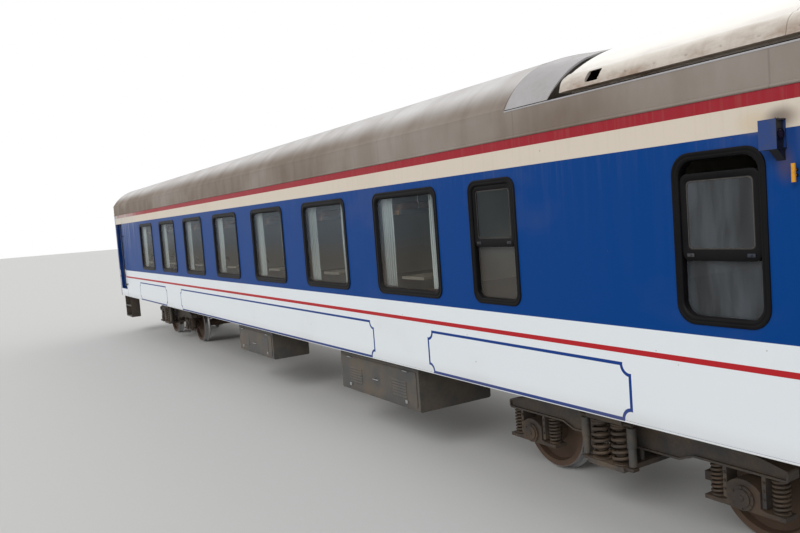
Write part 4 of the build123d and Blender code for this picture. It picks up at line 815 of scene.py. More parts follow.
@dataclass(frozen=True)
class CurtainCloth(Finish):
    """Thin pale curtain cloth with its weave, a soft sheen and painted shade in the valleys of its folds."""

    slot: str = "curtain_cloth"
    thread: Colour = rgb(238, 238, 234)
    shade: Colour = rgb(190, 192, 190)
    valley: Colour = rgb(96, 98, 98)
    weave: float = 130.0
    folds: float = 7.0
    width: float = 0.52

    def build(self, tree: PaintTree) -> None:
        """Makes the nodes.

        Args:
            tree: The empty tree.
        """
        place = tree.node("UVMap", {"uv_map": "cloth"})
        sockets = {"Vector": place, "Scale": self.weave, "Distortion": 0.4}
        weft, warp = (tree.node("TexWave", {"bands_direction": way}, sockets, output=1) for way in "XY")
        woven = weft * 0.5 + warp * 0.5
        clouds = tree.noise(5.0, (1.0, 1.0, 0.3), 3.0)
        across = tree.node("SeparateXYZ", None, {0: place})
        # painted shade: the cloth darkens in the valleys of its folds
        valley = (across * (2 * math.pi * self.folds / self.width)).sine().rise(-0.2, 0.8)
        colour = tree.blend(woven * 0.2 + clouds * 0.3, self.thread, self.shade)
        colour = tree.blend(valley * 0.6, colour, self.valley)
        tree.surface(colour, 0.82 + clouds * 0.08, woven, 0.0003, 0.5, Alpha=0.78, Sheen_Weight=0.25)


@dataclass(frozen=True)
class GangwayCloth(Finish):
    """Rubbered canvas of the gangway, greyed on its folds."""

    slot: str = "gangway_rubber"
    black: Colour = rgb(34, 34, 36)
    grey: Colour = rgb(104, 100, 94)

    def build(self, tree: PaintTree) -> None:
        """Makes the nodes.

        Args:
            tree: The empty tree.
        """
        clouds = tree.noise(3.0, detail=5.0)
        weave = tree.noise(420.0, detail=1.0)
        _, _, up = tree.facing()
        dusty = (clouds.rise(0.48, 0.2) * 0.4 + up.rise(0.5, 0.4) * 0.5).smaller(0.85)
        colour = tree.blend(dusty, self.black, self.grey)
        tree.surface(colour, 0.62 + dusty * 0.25, weave * 0.3 + clouds, 0.0008, 0.5)


BODY = BodyPaint()
ENDS = EndPaint()
ROOF = RoofPaint()
LAMP = LampPaint()
GELCOAT = UnitGelcoat()
RUBBER = DullRubber()
GLASS = WindowGlass()
DOOR = BodyPaint("door_paint")
FRAME_PAINT = WornPaint(
    "underframe_paint", rgb(44, 42, 42), rgb(96, 82, 66), rgb(112, 76, 50), 0.55, 0.7)
BOGIE_PAINT = WornPaint(
    "bogie_paint", rgb(58, 55, 54), rgb(104, 88, 70), rgb(104, 68, 46), 0.55, 0.75)
SPRING = WornPaint(
    "spring_steel", rgb(70, 62, 56), rgb(110, 90, 70), rgb(120, 74, 44), 0.5, 0.55, 0.5, 9.0, 0.3)
CASTING = WornPaint(
    "cast_steel", rgb(62, 56, 52), rgb(104, 84, 66), rgb(126, 80, 50), 0.6, 0.6, 0.5, 7.0, 0.3)
WHEEL = WheelSteel()
GANGWAY = GangwayCloth()
FLOORING = WornPaint(
    "floor_board", rgb(120, 104, 88), rgb(76, 66, 58), rgb(150, 132, 110), 0.45, 0.45, 0.3)
WALLS = Laminate()
CEILING = WornPaint(
    "ceiling_panel", rgb(224, 222, 214), rgb(188, 182, 168), rgb(200, 196, 186), 0.45, 0.25, 0.1)
BOARD = WornPaint(
    "berth_board", rgb(156, 116, 78), rgb(118, 84, 56), rgb(186, 146, 104), 0.42, 0.4, 0.2, 6.0)
LEATHER = Leather()
TABLE = WornPaint(
    "table_top", rgb(136, 124, 108), rgb(104, 92, 78), rgb(120, 108, 92), 0.34, 0.3, 0.15, 6.0)
CLOTH = CurtainCloth()
STEEL = WornPaint(
    "rail_steel", rgb(176, 178, 180), rgb(120, 114, 106), rgb(98, 86, 76), 0.28, 0.35, 0.25, 8.0, 0.85)
FAIRING = WornPaint(
    "fairing_paint", rgb(168, 166, 168), rgb(124, 114, 106), rgb(128, 98, 76), 0.38, 0.3, 0.12, 1.6)
DARK_RAIL = WornPaint(
    "rail_steel_dark", rgb(40, 44, 56), rgb(92, 86, 78), rgb(130, 120, 110), 0.4, 0.4, 0.3, 8.0, 0.3)
YELLOW = HandlePaint()
TANK = WornPaint(
    "tank_paint", rgb(66, 66, 66), rgb(108, 94, 76), rgb(110, 78, 52), 0.5, 0.6, 0.3)
LAMP_GLASS = WornPaint(
    "lamp_lens", rgb(232, 232, 222), rgb(206, 200, 180), rgb(220, 214, 196), 0.25, 0.2, 0.05)
DARK_LENS = WornPaint(
    "marker_lens", rgb(34, 18, 20), rgb(58, 48, 42), rgb(46, 30, 28), 0.14, 0.3, 0.05)
SEAL = WornPaint(
    "seal_grey", rgb(74, 70, 66), rgb(54, 50, 46), rgb(60, 56, 50), 0.6, 0.4, 0.2, 9.0)


def dress(finish: Finish, *names: str) -> None:
    """Gives nodes of the frame a finish on their own material slots.

    Args:
        finish: The finish.
        names: The names of the nodes.
    """
    for name in names:
        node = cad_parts[name]
        if not node.material_slots:
            node.data.materials.append(None)
        for slot in node.material_slots:
            slot.material = finish.material()


@dataclass(frozen=True)
class Section:
    """A rounded rectangle in the XZ plane at a depth along Y."""

    centre: Pair
    size: Pair
    radius: float
    depth: float

    def fitted(self, other: "Section", place: Vector) -> Vector:
        """Finds the point of this outline that answers to one of another.

        Args:
            other: The outline that the point is on.
            place: The point.

        Returns:
            The same point of this outline.
        """
        found = []
        for axis, value in ((0, place.x), (1, place.z)):
            offset = value - other.centre[axis]
            part = (abs(offset) - other.size[axis] / 2 + other.radius) / other.radius
            reach = self.size[axis] / 2 - self.radius + self.radius * part
            found.append(self.centre[axis] + math.copysign(reach, offset))
        return Vector((found[0], self.depth, found[1]))


def only(kind: type, parts: Iterable) -> list:
    """Picks the parts of one kind, such as the vertices."""
    return [part for part in parts if isinstance(part, kind)]


class Shape:
    """A mesh under the maker's hands, in the coach's own frame and in metres."""

    def __init__(self) -> None:
        """Starts with no geometry."""
        self.mesh = bmesh.new()

    def box(self, low: Point, high: Point, soften: float = 0.0, steps: int = 2) -> list:
        """Adds a box between two corners.

        Args:
            low: One corner.
            high: The opposite corner.
            soften: How far its edges are rounded.
            steps: How many faces each rounding has.

        Returns:
            The box's vertices before rounding.
        """
        low, high = Vector(low), Vector(high)
        size = Vector(abs(part) for part in high - low)
        place = Matrix.Translation((low + high) / 2) @ Matrix.Diagonal((*size, 1.0))
        verts = bmesh.ops.create_cube(self.mesh, size=1.0, matrix=place)["verts"]
        self._soften(verts, soften, steps)
        return verts

    def block(self, middle: Point, size: Point, soften: float = 0.0, steps: int = 2) -> list:
        """Adds a box about its middle, with the softening of a box."""
        middle, half = Vector(middle), Vector(size) / 2
        return self.box(middle - half, middle + half, soften, steps)

    def _soften(self, verts: list, soften: float, steps: int) -> None:
        """Rounds the sharp edges of what has just been made.

        Args:
            verts: Its vertices.
            soften: How far the edges are rounded.
            steps: How many faces each rounding has.
        """
        if soften <= 0:
            return
        edges = {
            edge for vert in verts for edge in vert.link_edges if edge.calc_face_angle(0.0) > SHARP_ANGLE
        }
        bmesh.ops.bevel(
            self.mesh, geom=list(edges), offset=soften, offset_type="OFFSET", segments=steps,
            profile=0.5, affect="EDGES", material=-1, clamp_overlap=True,
        )

    def rod(
        self, start: Point, end: Point, radius: float, sides: int = 16, soften: float = 0.0, tip: float = 1.0,
    ) -> list:
        """Adds a round bar between two points, narrower at its end if a tip is given.

        Args:
            start: The middle of its first end.
            end: The middle of its other end.
            radius: Its radius at the start.
            sides: How many sides it has, 6 for a nut.
            soften: How far its end edges are rounded.
            tip: The end's radius as a share of the start's.

        Returns:
            The bar's vertices before rounding.
        """
        start, end = Vector(start), Vector(end)
        along = end - start
        turn = along.to_track_quat("Z", "Y").to_matrix().to_4x4()
        verts = bmesh.ops.create_cone(
            self.mesh, cap_ends=True, cap_tris=False, segments=sides, radius1=radius,
            radius2=radius * tip, depth=along.length, matrix=Matrix.Translation((start + end) / 2) @ turn,
        )["verts"]
        self._soften(verts, soften, 2)
        return verts

    def stud(self, foot: Point, reach: Point, radius: float, sides: int = 16, soften: float = 0.0) -> list:
        """Adds a round bar from its foot, with the options of a rod."""
        return self.rod(foot, Vector(foot) + Vector(reach), radius, sides, soften)

    def bolt(self, place: Point, out: Point, size: float = 0.012) -> None:
        """Adds a washer and a hexagon head.

        Args:
            place: The middle of the washer's seat.
            out: The direction that the head faces.
            size: The head's radius.
        """
        place, out = Vector(place), Vector(out)
        self.rod(place - out * 0.0005, place + out * size * 0.25, size * 1.25, 14)
        self.rod(place + out * size * 0.2, place + out * size * 0.95, size, 6, size * 0.12)

    def loop(self, section: Section, corner: int = 7) -> list:
        """Adds the bare outline of a rounded rectangle.

        Args:
            section: Its place, size and rounding.
            corner: How many edges each corner has.

        Returns:
            The outline's edges.
        """
        width, height = section.size
        place = Matrix.Translation((section.centre[0], section.depth, section.centre[1]))
        turn = Matrix.Rotation(math.pi / 2, 4, "X") @ Matrix.Diagonal((width, height, 1.0, 1.0))
        made = bmesh.ops.create_grid(self.mesh, x_segments=1, y_segments=1, size=0.5, matrix=place @ turn)
        radius = min(section.radius, 0.499 * width, 0.499 * height)
        bent = bmesh.ops.bevel(
            self.mesh, geom=made["verts"], offset=radius, offset_type="OFFSET", segments=corner,
            profile=0.5, affect="VERTICES", material=-1, clamp_overlap=False,
        )
        face = next(face for vert in bent["verts"] for face in vert.link_faces)
        edges = list(face.edges)
        bmesh.ops.delete(self.mesh, geom=[face], context="FACES_ONLY")
        return edges

    def drawn(self, edges: list) -> tuple[list, list]:
        """Extrudes edges.

        Args:
            edges: The edges.

        Returns:
            The new vertices, and the edges between them.
        """
        made = bmesh.ops.extrude_edge_only(self.mesh, edges=edges)["geom"]
        verts = only(bmesh.types.BMVert, made)
        fresh = set(verts)
        ring = [edge for edge in only(bmesh.types.BMEdge, made) if fresh.issuperset(edge.verts)]
        return verts, ring

    def rings(self, sections: Sequence[Section], closed: bool = True, corner: int = 7) -> None:
        """Draws a rounded rectangle through a run of outlines, as a moulding.

        Args:
            sections: The outlines in order round the moulding.
            closed: True to end on the first outline.
            corner: How many edges each corner has.
        """
        ring = self.loop(sections[0], corner)
        seam = [vert for edge in ring for vert in edge.verts]
        run = list(sections) + (list(sections[:1]) if closed else [])
        for old, new in zip(run, run[1:]):
            verts, ring = self.drawn(ring)
            for vert in verts:
                vert.co = new.fitted(old, vert.co)
        if closed:
            bmesh.ops.remove_doubles(self.mesh, verts=list(set(seam + verts)), dist=WELD)

    def turned(self, points: Sequence[Pair], centre: Point, axis: Point = (0, 0, 1), steps: int = 24) -> None:
        """Turns an outline about an axis, as on a lathe.

        Args:
            points: Each one's distance from the axis and place along it.
            centre: A point on the axis.
            axis: The axis's direction.
            steps: How many steps a full turn has.
        """
        centre, axis = Vector(centre), Vector(axis).normalized()
        aside = axis.orthogonal().normalized()
        verts = [self.mesh.verts.new(centre + aside * far + axis * along) for far, along in points]
        edges = [self.mesh.edges.new(pair) for pair in zip(verts, verts[1:])]
        bmesh.ops.spin(
            self.mesh, geom=verts + edges, cent=centre, axis=axis, angle=2 * math.pi,
            steps=steps, use_merge=True,
        )
        bmesh.ops.remove_doubles(self.mesh, verts=self.mesh.verts[:], dist=WELD)

    def pipe(
        self, start: Point, heading: Point, route: Sequence[tuple], radius: float, sides: int = 12,
    ) -> None:
        """Adds a pipe that runs straight and bends by turns.

        Args:
            start: The middle of its first end.
            heading: The direction that it sets off in.
            route: Steps of ("run", length) or ("bend", axis, radius, angle in degrees).
            radius: The pipe's radius.
            sides: How many sides it has.
        """
        here, heading = Vector(start), Vector(heading).normalized()
        turn = heading.to_track_quat("Z", "Y").to_matrix().to_4x4()
        verts = bmesh.ops.create_circle(
            self.mesh, cap_ends=False, radius=radius, segments=sides, matrix=Matrix.Translation(here) @ turn,
        )["verts"]
        ring = list({edge for vert in verts for edge in vert.link_edges})
        first = ring
        for step in route:
            if step[0] == "run":
                verts, ring = self.drawn(ring)
                here = here + heading * step[1]
                bmesh.ops.translate(self.mesh, vec=heading * step[1], verts=verts)
            else:
                _, axis, bend, angle = step
                axis = Vector(axis).normalized()
                centre = here + axis.cross(heading) * bend
                parts = ring + list({vert for edge in ring for vert in edge.verts})
                made = bmesh.ops.spin(
                    self.mesh, geom=parts, cent=centre, axis=axis, angle=math.radians(angle),
                    steps=max(3, int(abs(angle) / 15)), use_merge=False,
                )["geom_last"]
                ring = only(bmesh.types.BMEdge, made)
                rotate = Matrix.Rotation(math.radians(angle), 3, axis)
                here = centre + rotate @ (here - centre)
                heading = rotate @ heading
        for edges in (first, ring):
            bmesh.ops.edgeloop_fill(self.mesh, edges=edges)

    def coil(
        self, centre: Point, radius: float, wire: float, rise: float, turns: float, steps: int = 22,
    ) -> None:
        """Winds a coil spring upwards from a point on its axis.

        Args:
            centre: The lowest point of the axis.
            radius: The radius at the middle of the wire.
            wire: The wire's own radius.
            rise: The height from the first to the last turn's middle.
            turns: How many turns it has.
            steps: How many steps each turn has.
        """
        centre = Vector(centre)
        place = Matrix.Translation(centre + Vector((radius, 0, 0))) @ Matrix.Rotation(math.pi / 2, 4, "X")
        verts = bmesh.ops.create_circle(
            self.mesh, cap_ends=False, radius=wire, segments=9, matrix=place,
        )["verts"]
        ring = list({edge for vert in verts for edge in vert.link_edges})
        count = int(turns * steps)
        made = bmesh.ops.spin(
            self.mesh, geom=ring + verts, cent=centre, axis=(0, 0, 1), angle=2 * math.pi * turns,
            dvec=(0, 0, rise / count), steps=count, use_merge=False,
        )["geom_last"]
        for edges in (ring, only(bmesh.types.BMEdge, made)):
            bmesh.ops.edgeloop_fill(self.mesh, edges=edges)

    def add(self, other: "Shape", offsets: Sequence[Point]) -> None:
        """Adds copies of another shape, which is used up.

        Args:
            other: The shape that is copied.
            offsets: Where each copy is moved to.
        """
        data = bpy.data.meshes.new("copied")
        other.mesh.to_mesh(data)
        other.mesh.free()
        for offset in offsets:
            known = len(self.mesh.verts)
            self.mesh.from_mesh(data)
            self.mesh.verts.ensure_lookup_table()
            bmesh.ops.translate(self.mesh, vec=Vector(offset), verts=self.mesh.verts[known:])
        bpy.data.meshes.remove(data)

    def mirrored(self, axis: str) -> "Shape":
        """Adds the mirror image of everything across the coach's middle.

        Args:
            axis: X for the other end, or Y for the other side.

        Returns:
            The shape itself.
        """
        everything = self.mesh.verts[:] + self.mesh.edges[:] + self.mesh.faces[:]
        made = bmesh.ops.duplicate(self.mesh, geom=everything)["geom"]
        flip = (-1, 1, 1) if axis == "X" else (1, -1, 1)
        bmesh.ops.scale(self.mesh, vec=flip, verts=only(bmesh.types.BMVert, made))
        return self

    def moved(self, offset: Point) -> "Shape":
        """Moves everything."""
        bmesh.ops.translate(self.mesh, vec=Vector(offset), verts=self.mesh.verts)
        return self

    def placed(self, end: int = 1, side: int = 1) -> "Shape":
        """Flips everything to the far end or the right side, where its number is -1."""
        bmesh.ops.scale(self.mesh, vec=(end, side, 1), verts=self.mesh.verts)
        return self

    def piece(
        self, name: str, finish: Finish, body: str = "coach_body", angle: float = 38.0,
    ) -> bpy.types.Object:
        """Turns the shape into a piece that rides on a body.

        Args:
            name: The piece's name.
            finish: Its finish.
            body: The body that it moves with.
            angle: The angle in degrees over which an edge stays sharp.

        Returns:
            The piece.
        """
        bmesh.ops.recalc_face_normals(self.mesh, faces=self.mesh.faces)
        data = bpy.data.meshes.new(name)
        self.mesh.to_mesh(data)
        self.mesh.free()
        data.shade_smooth()
        data.set_sharp_from_angle(angle=math.radians(angle))
        return place_piece(name, data, finish, body)


def place_piece(name: str, data: bpy.types.Mesh, finish: Finish, body: str) -> bpy.types.Object:
    """Links a mesh as a piece of the coach.

    Args:
        name: The piece's name.
        data: Its mesh, in the coach's frame.
        finish: Its finish.
        body: The body that it moves with.

    Returns:
        The piece.
    """
    piece = bpy.data.objects.new(name, data)
    bpy.context.scene.collection.objects.link(piece)
    data.materials.append(finish.material())
    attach(piece, body)
    LOG.info("%s: %d faces on %s", name, len(data.polygons), body)
    return piece


@dataclass
class Window:
    """One window of the sides."""

    centre: float
    width: float
    radius: float
    rail: float = 0.0
    drop: float = 0.0


@dataclass
class Windows:
    """The moulded window frames, their sashes, seals and catches."""

    height: float = 1.07
    bar: float = 0.062
    sash_frame_bar: float = 0.050
    sash_bar: float = 0.042
    sash_rail: float = 0.070
    glass_depth: float = 0.0157
    first: float = -6.53
    pitch: float = 1.891
    count: int = 7

    def table(self) -> list[Window]:
        """The windows of one side from the far end."""
        wide = [Window(self.first + index * self.pitch, 1.228, 0.10) for index in range(self.count)]
        return wide + [Window(6.252, 0.64, 0.10, 0.528), Window(8.434, 0.646, 0.13, 0.435, 0.08)]

    def section(self, window: Window, inset: float, proud: float) -> Section:
        """One outline of a frame's moulding.

        Args:
            window: The window.
            inset: How far the outline lies inside the frame's outer edge.
            proud: How far it stands out of the side.

        Returns:
            The outline on the left side.
        """
        size = (window.width - 2 * inset, self.height - 2 * inset)
        radius = window.radius - min(inset, 0.03)
        return Section((window.centre, SILL_Z + self.height / 2), size, radius, -HALF_WIDTH - proud)

    def frame(self, shape: Shape, window: Window) -> None:
        """Adds one moulded frame with its glazing bead.

        Args:
            shape: Takes the frame.
            window: The window.
        """
        bar = self.sash_frame_bar if window.rail else self.bar
        steps = [
            (0.0, 0.0), (0.0, 0.006), (0.003, 0.0095), (0.009, 0.011), (0.020, 0.0105), (0.024, 0.0075),
            (0.028, 0.0075), (0.032, 0.0095), (bar - 0.012, 0.008), (bar - 0.003, 0.003), (bar, -0.004),
        ]
        if not window.rail:
            steps += [(bar + 0.006, -0.008), (bar + 0.009, -0.0155), (bar, -self.glass_depth)]
        steps += [(bar, -0.060), (0.0303, -0.060), (0.0303, 0.0)]
        shape.rings([self.section(window, *step) for step in steps])

    def sash_outline(
        self, window: Window, inset: float, lift: float, proud: float, radius: float,
    ) -> Section:
        """One outline of a sash.

        Args:
            window: The window.
            inset: How far the outline lies inside the sash's outer edge.
            lift: How far it is lifted towards the top bar.
            proud: How far it stands out of the side.
            radius: The rounding of its corners.

        Returns:
            The outline on the left side.
        """
        low = SILL_Z + window.rail - self.sash_rail / 2
        high = SILL_Z + self.height - self.sash_frame_bar - window.drop
        size = (window.width - 2 * self.sash_frame_bar - 2 * inset, high - low - 2 * inset - 2 * lift)
        centre = (window.centre, (low + high) / 2 + lift)
        return Section(centre, size, radius, -HALF_WIDTH - proud)

    def sash(self, shape: Shape, seals: Shape, catches: Shape, window: Window) -> None:
        """Adds the upper sash of a split window with its seal and catches.

        Args:
            shape: Takes the sash.
            seals: Takes the pale glazing seals.
            catches: Takes the two catches on its rail.
            window: The window.
        """
        bar, lift = self.sash_bar, (self.sash_rail - self.sash_bar) / 2
        steps = [
            (-0.0008, 0.0, -0.030, 0.055), (-0.0008, 0.0, -0.009, 0.055), (0.004, 0.0, -0.006, 0.052),
            (0.014, 0.3, -0.0052, 0.046), (bar - 0.008, 1.0, -0.0062, 0.034), (bar, 1.0, -0.012, 0.03),
            (bar, 1.0, -0.030, 0.03),
        ]
        shape.rings([self.sash_outline(window, inset, part * lift, proud, radius)
                     for inset, part, proud, radius in steps])
        for inset, depth in ((bar - 0.001, -0.0152), (bar + 0.004, -0.013)):
            back = -self.glass_depth - 0.0001
            seal = [(inset, depth), (inset + 0.004, depth + 0.001), (inset + 0.004, back), (inset, back)]
            seals.rings([self.sash_outline(window, a, lift, d, 0.03) for a, d in seal], corner=5)
        z = SILL_Z + window.rail
        for edge in BOTH:
            x, y = window.centre + edge * (window.width / 2 - 0.115), -HALF_WIDTH + 0.006
            catches.block((x, y - 0.003, z), (0.052, 0.006, 0.022), 0.003)
            catches.stud((x, y - 0.005, z), (0, -0.009, 0), 0.007, 14, 0.002)
        seat = (window.centre, -HALF_WIDTH + 0.041, z - 0.023)
        shape.block(seat, (window.width - 0.104, 0.022, 0.022), 0.003)

    def build(self) -> None:
        """Makes the frames of both sides and dresses the glass."""
        dress(GLASS, "window_glass")
        for side in Side:
            frames, seals, catches = Shape(), Shape(), Shape()
            for window in self.table():
                self.frame(frames, window)
                if window.rail:
                    self.sash(frames, seals, catches, window)
            name = side.name.lower()
            for shape in (frames, seals, catches):
                shape.placed(side=-side)
            made = frames.piece(f"window_mouldings_{name}", RUBBER, angle=50.0)
            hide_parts("window_frames")
            seals.piece(f"sash_seals_{name}", SEAL)
            catches.piece(f"sash_catches_{name}", DARK_RAIL)


@dataclass
class BodyShell:
    """The painted shell: walls, gutters, sill strips and what is fixed to them."""

    gutter: float = 0.011
    seam: float = 0.0028
    strip: float = 0.004

    def build(self) -> None:
        """Dresses the shell and adds its strips."""
        dress(BODY, "side_wall_left", "side_wall_right", "door_portals")
        dress(ENDS, "end_wall_near", "end_wall_far")
        dress(STEEL, "gangway_plates")
        gutters, seams, lips = Shape(), Shape(), Shape()
        y, z = -HALF_WIDTH, CANT_Z + 0.004
        gutters.rod((-HALF_LENGTH, y, z), (HALF_LENGTH, y, z), self.gutter, 12)
        gutters.mirrored("Y").piece("roof_gutters", ROOF)
        for x in (-DOORWAY_X, DOORWAY_X):
            seams.rod((x, y + 0.0005, EDGE_Z + 0.004), (x, y + 0.0005, CANT_Z - 0.002), self.seam, 8)
        seams.mirrored("Y").piece("corner_weld_seams", BODY)
        lips.box((-DOORWAY_X, y, EDGE_Z), (DOORWAY_X, y - self.strip, EDGE_Z + 0.014), 0.0015)
        lips.mirrored("Y").piece("sill_lips", BODY)


@dataclass
class MarkerLamp:
    """The finish and fittings of the marker lamps high on the sides."""

    centre_x: float = 8.829
    half: float = 0.0535
    reach: float = 0.090
    low: float = 2.753
    top: float = 2.918
    lens_radius: float = 0.028
    screw_inset: float = 0.005

    def build(self) -> None:
        """Dresses the housings and adds their lenses, hooks and screws."""
        dress(LAMP, "lamp_boxes")
        lenses, fittings = Shape(), Shape()
        face, skin = self.centre_x + self.half, -HALF_WIDTH
        centre, r = (face, skin - self.reach / 2, (self.low + self.top) / 2), self.lens_radius
        inner, outer = r - 0.003, r + 0.003
        rim = [(inner, -0.004), (outer, -0.004), (outer, 0.0), (inner, 0.0), (inner, -0.004)]
        lens = [(0, -0.001), (r * 0.6, -0.0015), (r, -0.0029), (0, -0.0029)]
        fittings.turned(rim, centre, (1, 0, 0), 28)
        lenses.turned(lens, centre, (1, 0, 0), 28)
        hook = [("run", 0.006), ("bend", (1, 0, 0), 0.012, -180), ("run", 0.006)]
        fittings.pipe((face - 0.022, skin - 0.035, self.top), (0, 0, 1), hook, 0.0032, 8)
        for y in (skin - self.screw_inset, skin - self.reach + self.screw_inset):
            for z in (self.low + self.screw_inset, self.top - self.screw_inset):
                fittings.stud((face, y, z), (0.002, 0, 0), 0.003, 10)
        lenses.mirrored("Y").piece("lamp_lenses", DARK_LENS)
        fittings.mirrored("Y").piece("lamp_fittings", RUBBER)


@dataclass
class RoofUnit:
    """The roof, its recess and the moulded unit with its fans and hatches."""

    start: float = 7.11
    end: float = 9.38
    top: float = 3.813
    fan_places: tuple[float, ...] = (7.72, 8.42)
    fan_radius: float = 0.26
    guard_rings: int = 6
    wire: float = 0.003
    eye_inset: float = 0.1
    screw_pitch: float = 0.243
    recess_x: Pair = (6.505, 9.755)
    recess_z: float = 3.3236

    def fans(self) -> None:
        """Adds the fan rings, their wire guards and blades."""
        rings, guards, blades = Shape(), Shape(), Shape()
        r = self.fan_radius
        rim = [
            (r - 0.02, -0.03), (r + 0.03, -0.03), (r + 0.026, 0.012), (r + 0.012, 0.022),
            (r - 0.004, 0.02), (r - 0.012, 0.006), (r - 0.02, -0.03),
        ]
        disc = [(0, 0.004), (r - 0.022, 0.004), (r - 0.022, 0.002), (0, 0.002)]
        for x in self.fan_places:
            centre = Vector((x, 0, self.top))
            rings.turned(rim, centre, steps=48)
            for index in range(1, self.guard_rings + 1):
                radius = r * index / (self.guard_rings + 0.4)
                lift = 0.034 - 0.016 * (index / self.guard_rings) ** 2
                wire = [
                    (radius + self.wire * math.cos(angle), lift + self.wire * math.sin(angle))
                    for angle in (0.0, 1.26, 2.51, 3.77, 5.03, 6.2832)
                ]
                guards.turned(wire, centre, steps=40)
            for index in range(8):
                angle = index * math.pi / 4
                out = Vector((math.cos(angle), math.sin(angle), 0))
                hub, rim_point = centre + Vector((0, 0, 0.034)), centre + Vector((0, 0, 0.016))
                guards.rod(hub + out * 0.03, rim_point + out * r, self.wire, 8)
            guards.turned([(0, 0.038), (0.032, 0.036), (0.036, 0.03), (0, 0.028)], centre)
            blades.turned(disc, centre, steps=40)
        rings.piece("fan_rings", GELCOAT)
        guards.piece("fan_guards", STEEL)
        blades.piece("fan_wells", RUBBER)

    def fasteners(self) -> None:
        """Adds the screws along the cover's foot and hatch, and four lifting eyes."""
        screws, eyes = Shape(), Shape()
        for index in range(9):
            x = self.start + 0.16 + index * self.screw_pitch
            screws.rod((x, -1.4135, 3.40), (x, -1.4235, 3.398), 0.010, 14, 0.002)
        screws.mirrored("Y").piece("cover_screws", GELCOAT)
        foot = [(0.016, 0), (0.03, 0), (0.03, 0.008), (0.016, 0.012), (0, 0.014)]
        loop = [("run", 0.008), ("bend", (0, 1, 0), 0.018, 180), ("run", 0.008)]
        for x in (self.start + self.eye_inset, self.end - self.eye_inset):
            eyes.turned(foot, (x, -0.16, 3.802), steps=18)
            eyes.pipe((x - 0.018, -0.16, 3.806), (0, 0, 1), loop, 0.005, 10)
        eyes.mirrored("Y").piece("lifting_eyes", STEEL)

    def air_holes(self) -> None:
        """Adds the black ducts inside the cover's air holes."""
        ducts = Shape()
        for x in (self.start + 0.34, self.end - 0.14):
            verts = ducts.box((x - 0.0755, -1.408, 3.3915), (x + 0.0555, -1.25, 3.4685))
            upper = [vert for vert in verts if vert.co.z > 3.43]
            bmesh.ops.translate(ducts.mesh, vec=(0.020, 0, 0), verts=upper)
            outer = [vert for vert in upper if vert.co.y < -1.3]
            bmesh.ops.translate(ducts.mesh, vec=(0, 0.048, 0), verts=outer)
            faces = {face for vert in verts for face in vert.link_faces}
            mouth = min(faces, key=lambda face: face.calc_center_median().y)
            bmesh.ops.delete(ducts.mesh, geom=[mouth], context="FACES_ONLY")
        bmesh.ops.solidify(ducts.mesh, geom=ducts.mesh.faces[:], thickness=0.003)
        ducts.mirrored("Y").piece("air_hole_ducts", RUBBER)

    def edgings(self) -> None:
        """Adds the sealing beads round the recess and under the fairings' edges, and a pale strip along the
        recess's outer edge that stands for the edge's painted highlight.
        """
        beads, highlight_strips = Shape(), Shape()
        (low, high), z = self.recess_x, self.recess_z
        beads.box((low, -1.4508, z), (high, -1.436, z + 0.0064), 0.0012)
        for x in (6.978, 9.468):
            beads.box((x, -1.42, z - 0.0001), (x + 0.012, -1.30, z + 0.0094), 0.002)
        # painted highlight: a pale strip along the recess edge, where the roof's edge catches the light
        highlight_strips.box((low - 0.003, -1.4525, z - 0.0116), (high + 0.003, -1.4495, z), 0.001)
        beads.mirrored("Y").piece("recess_beads", RUBBER)
        highlight_strips.mirrored("Y").piece("recess_highlight_strips", FAIRING)

    def build(self) -> None:
        """Dresses the roof and adds what is fixed to the unit."""
        dress(ROOF, "roof", "roof_recess")
        dress(FAIRING, "roof_fairings")
        dress(GELCOAT, "roof_unit")
        self.fans()
        self.fasteners()
        self.air_holes()
        self.edgings()


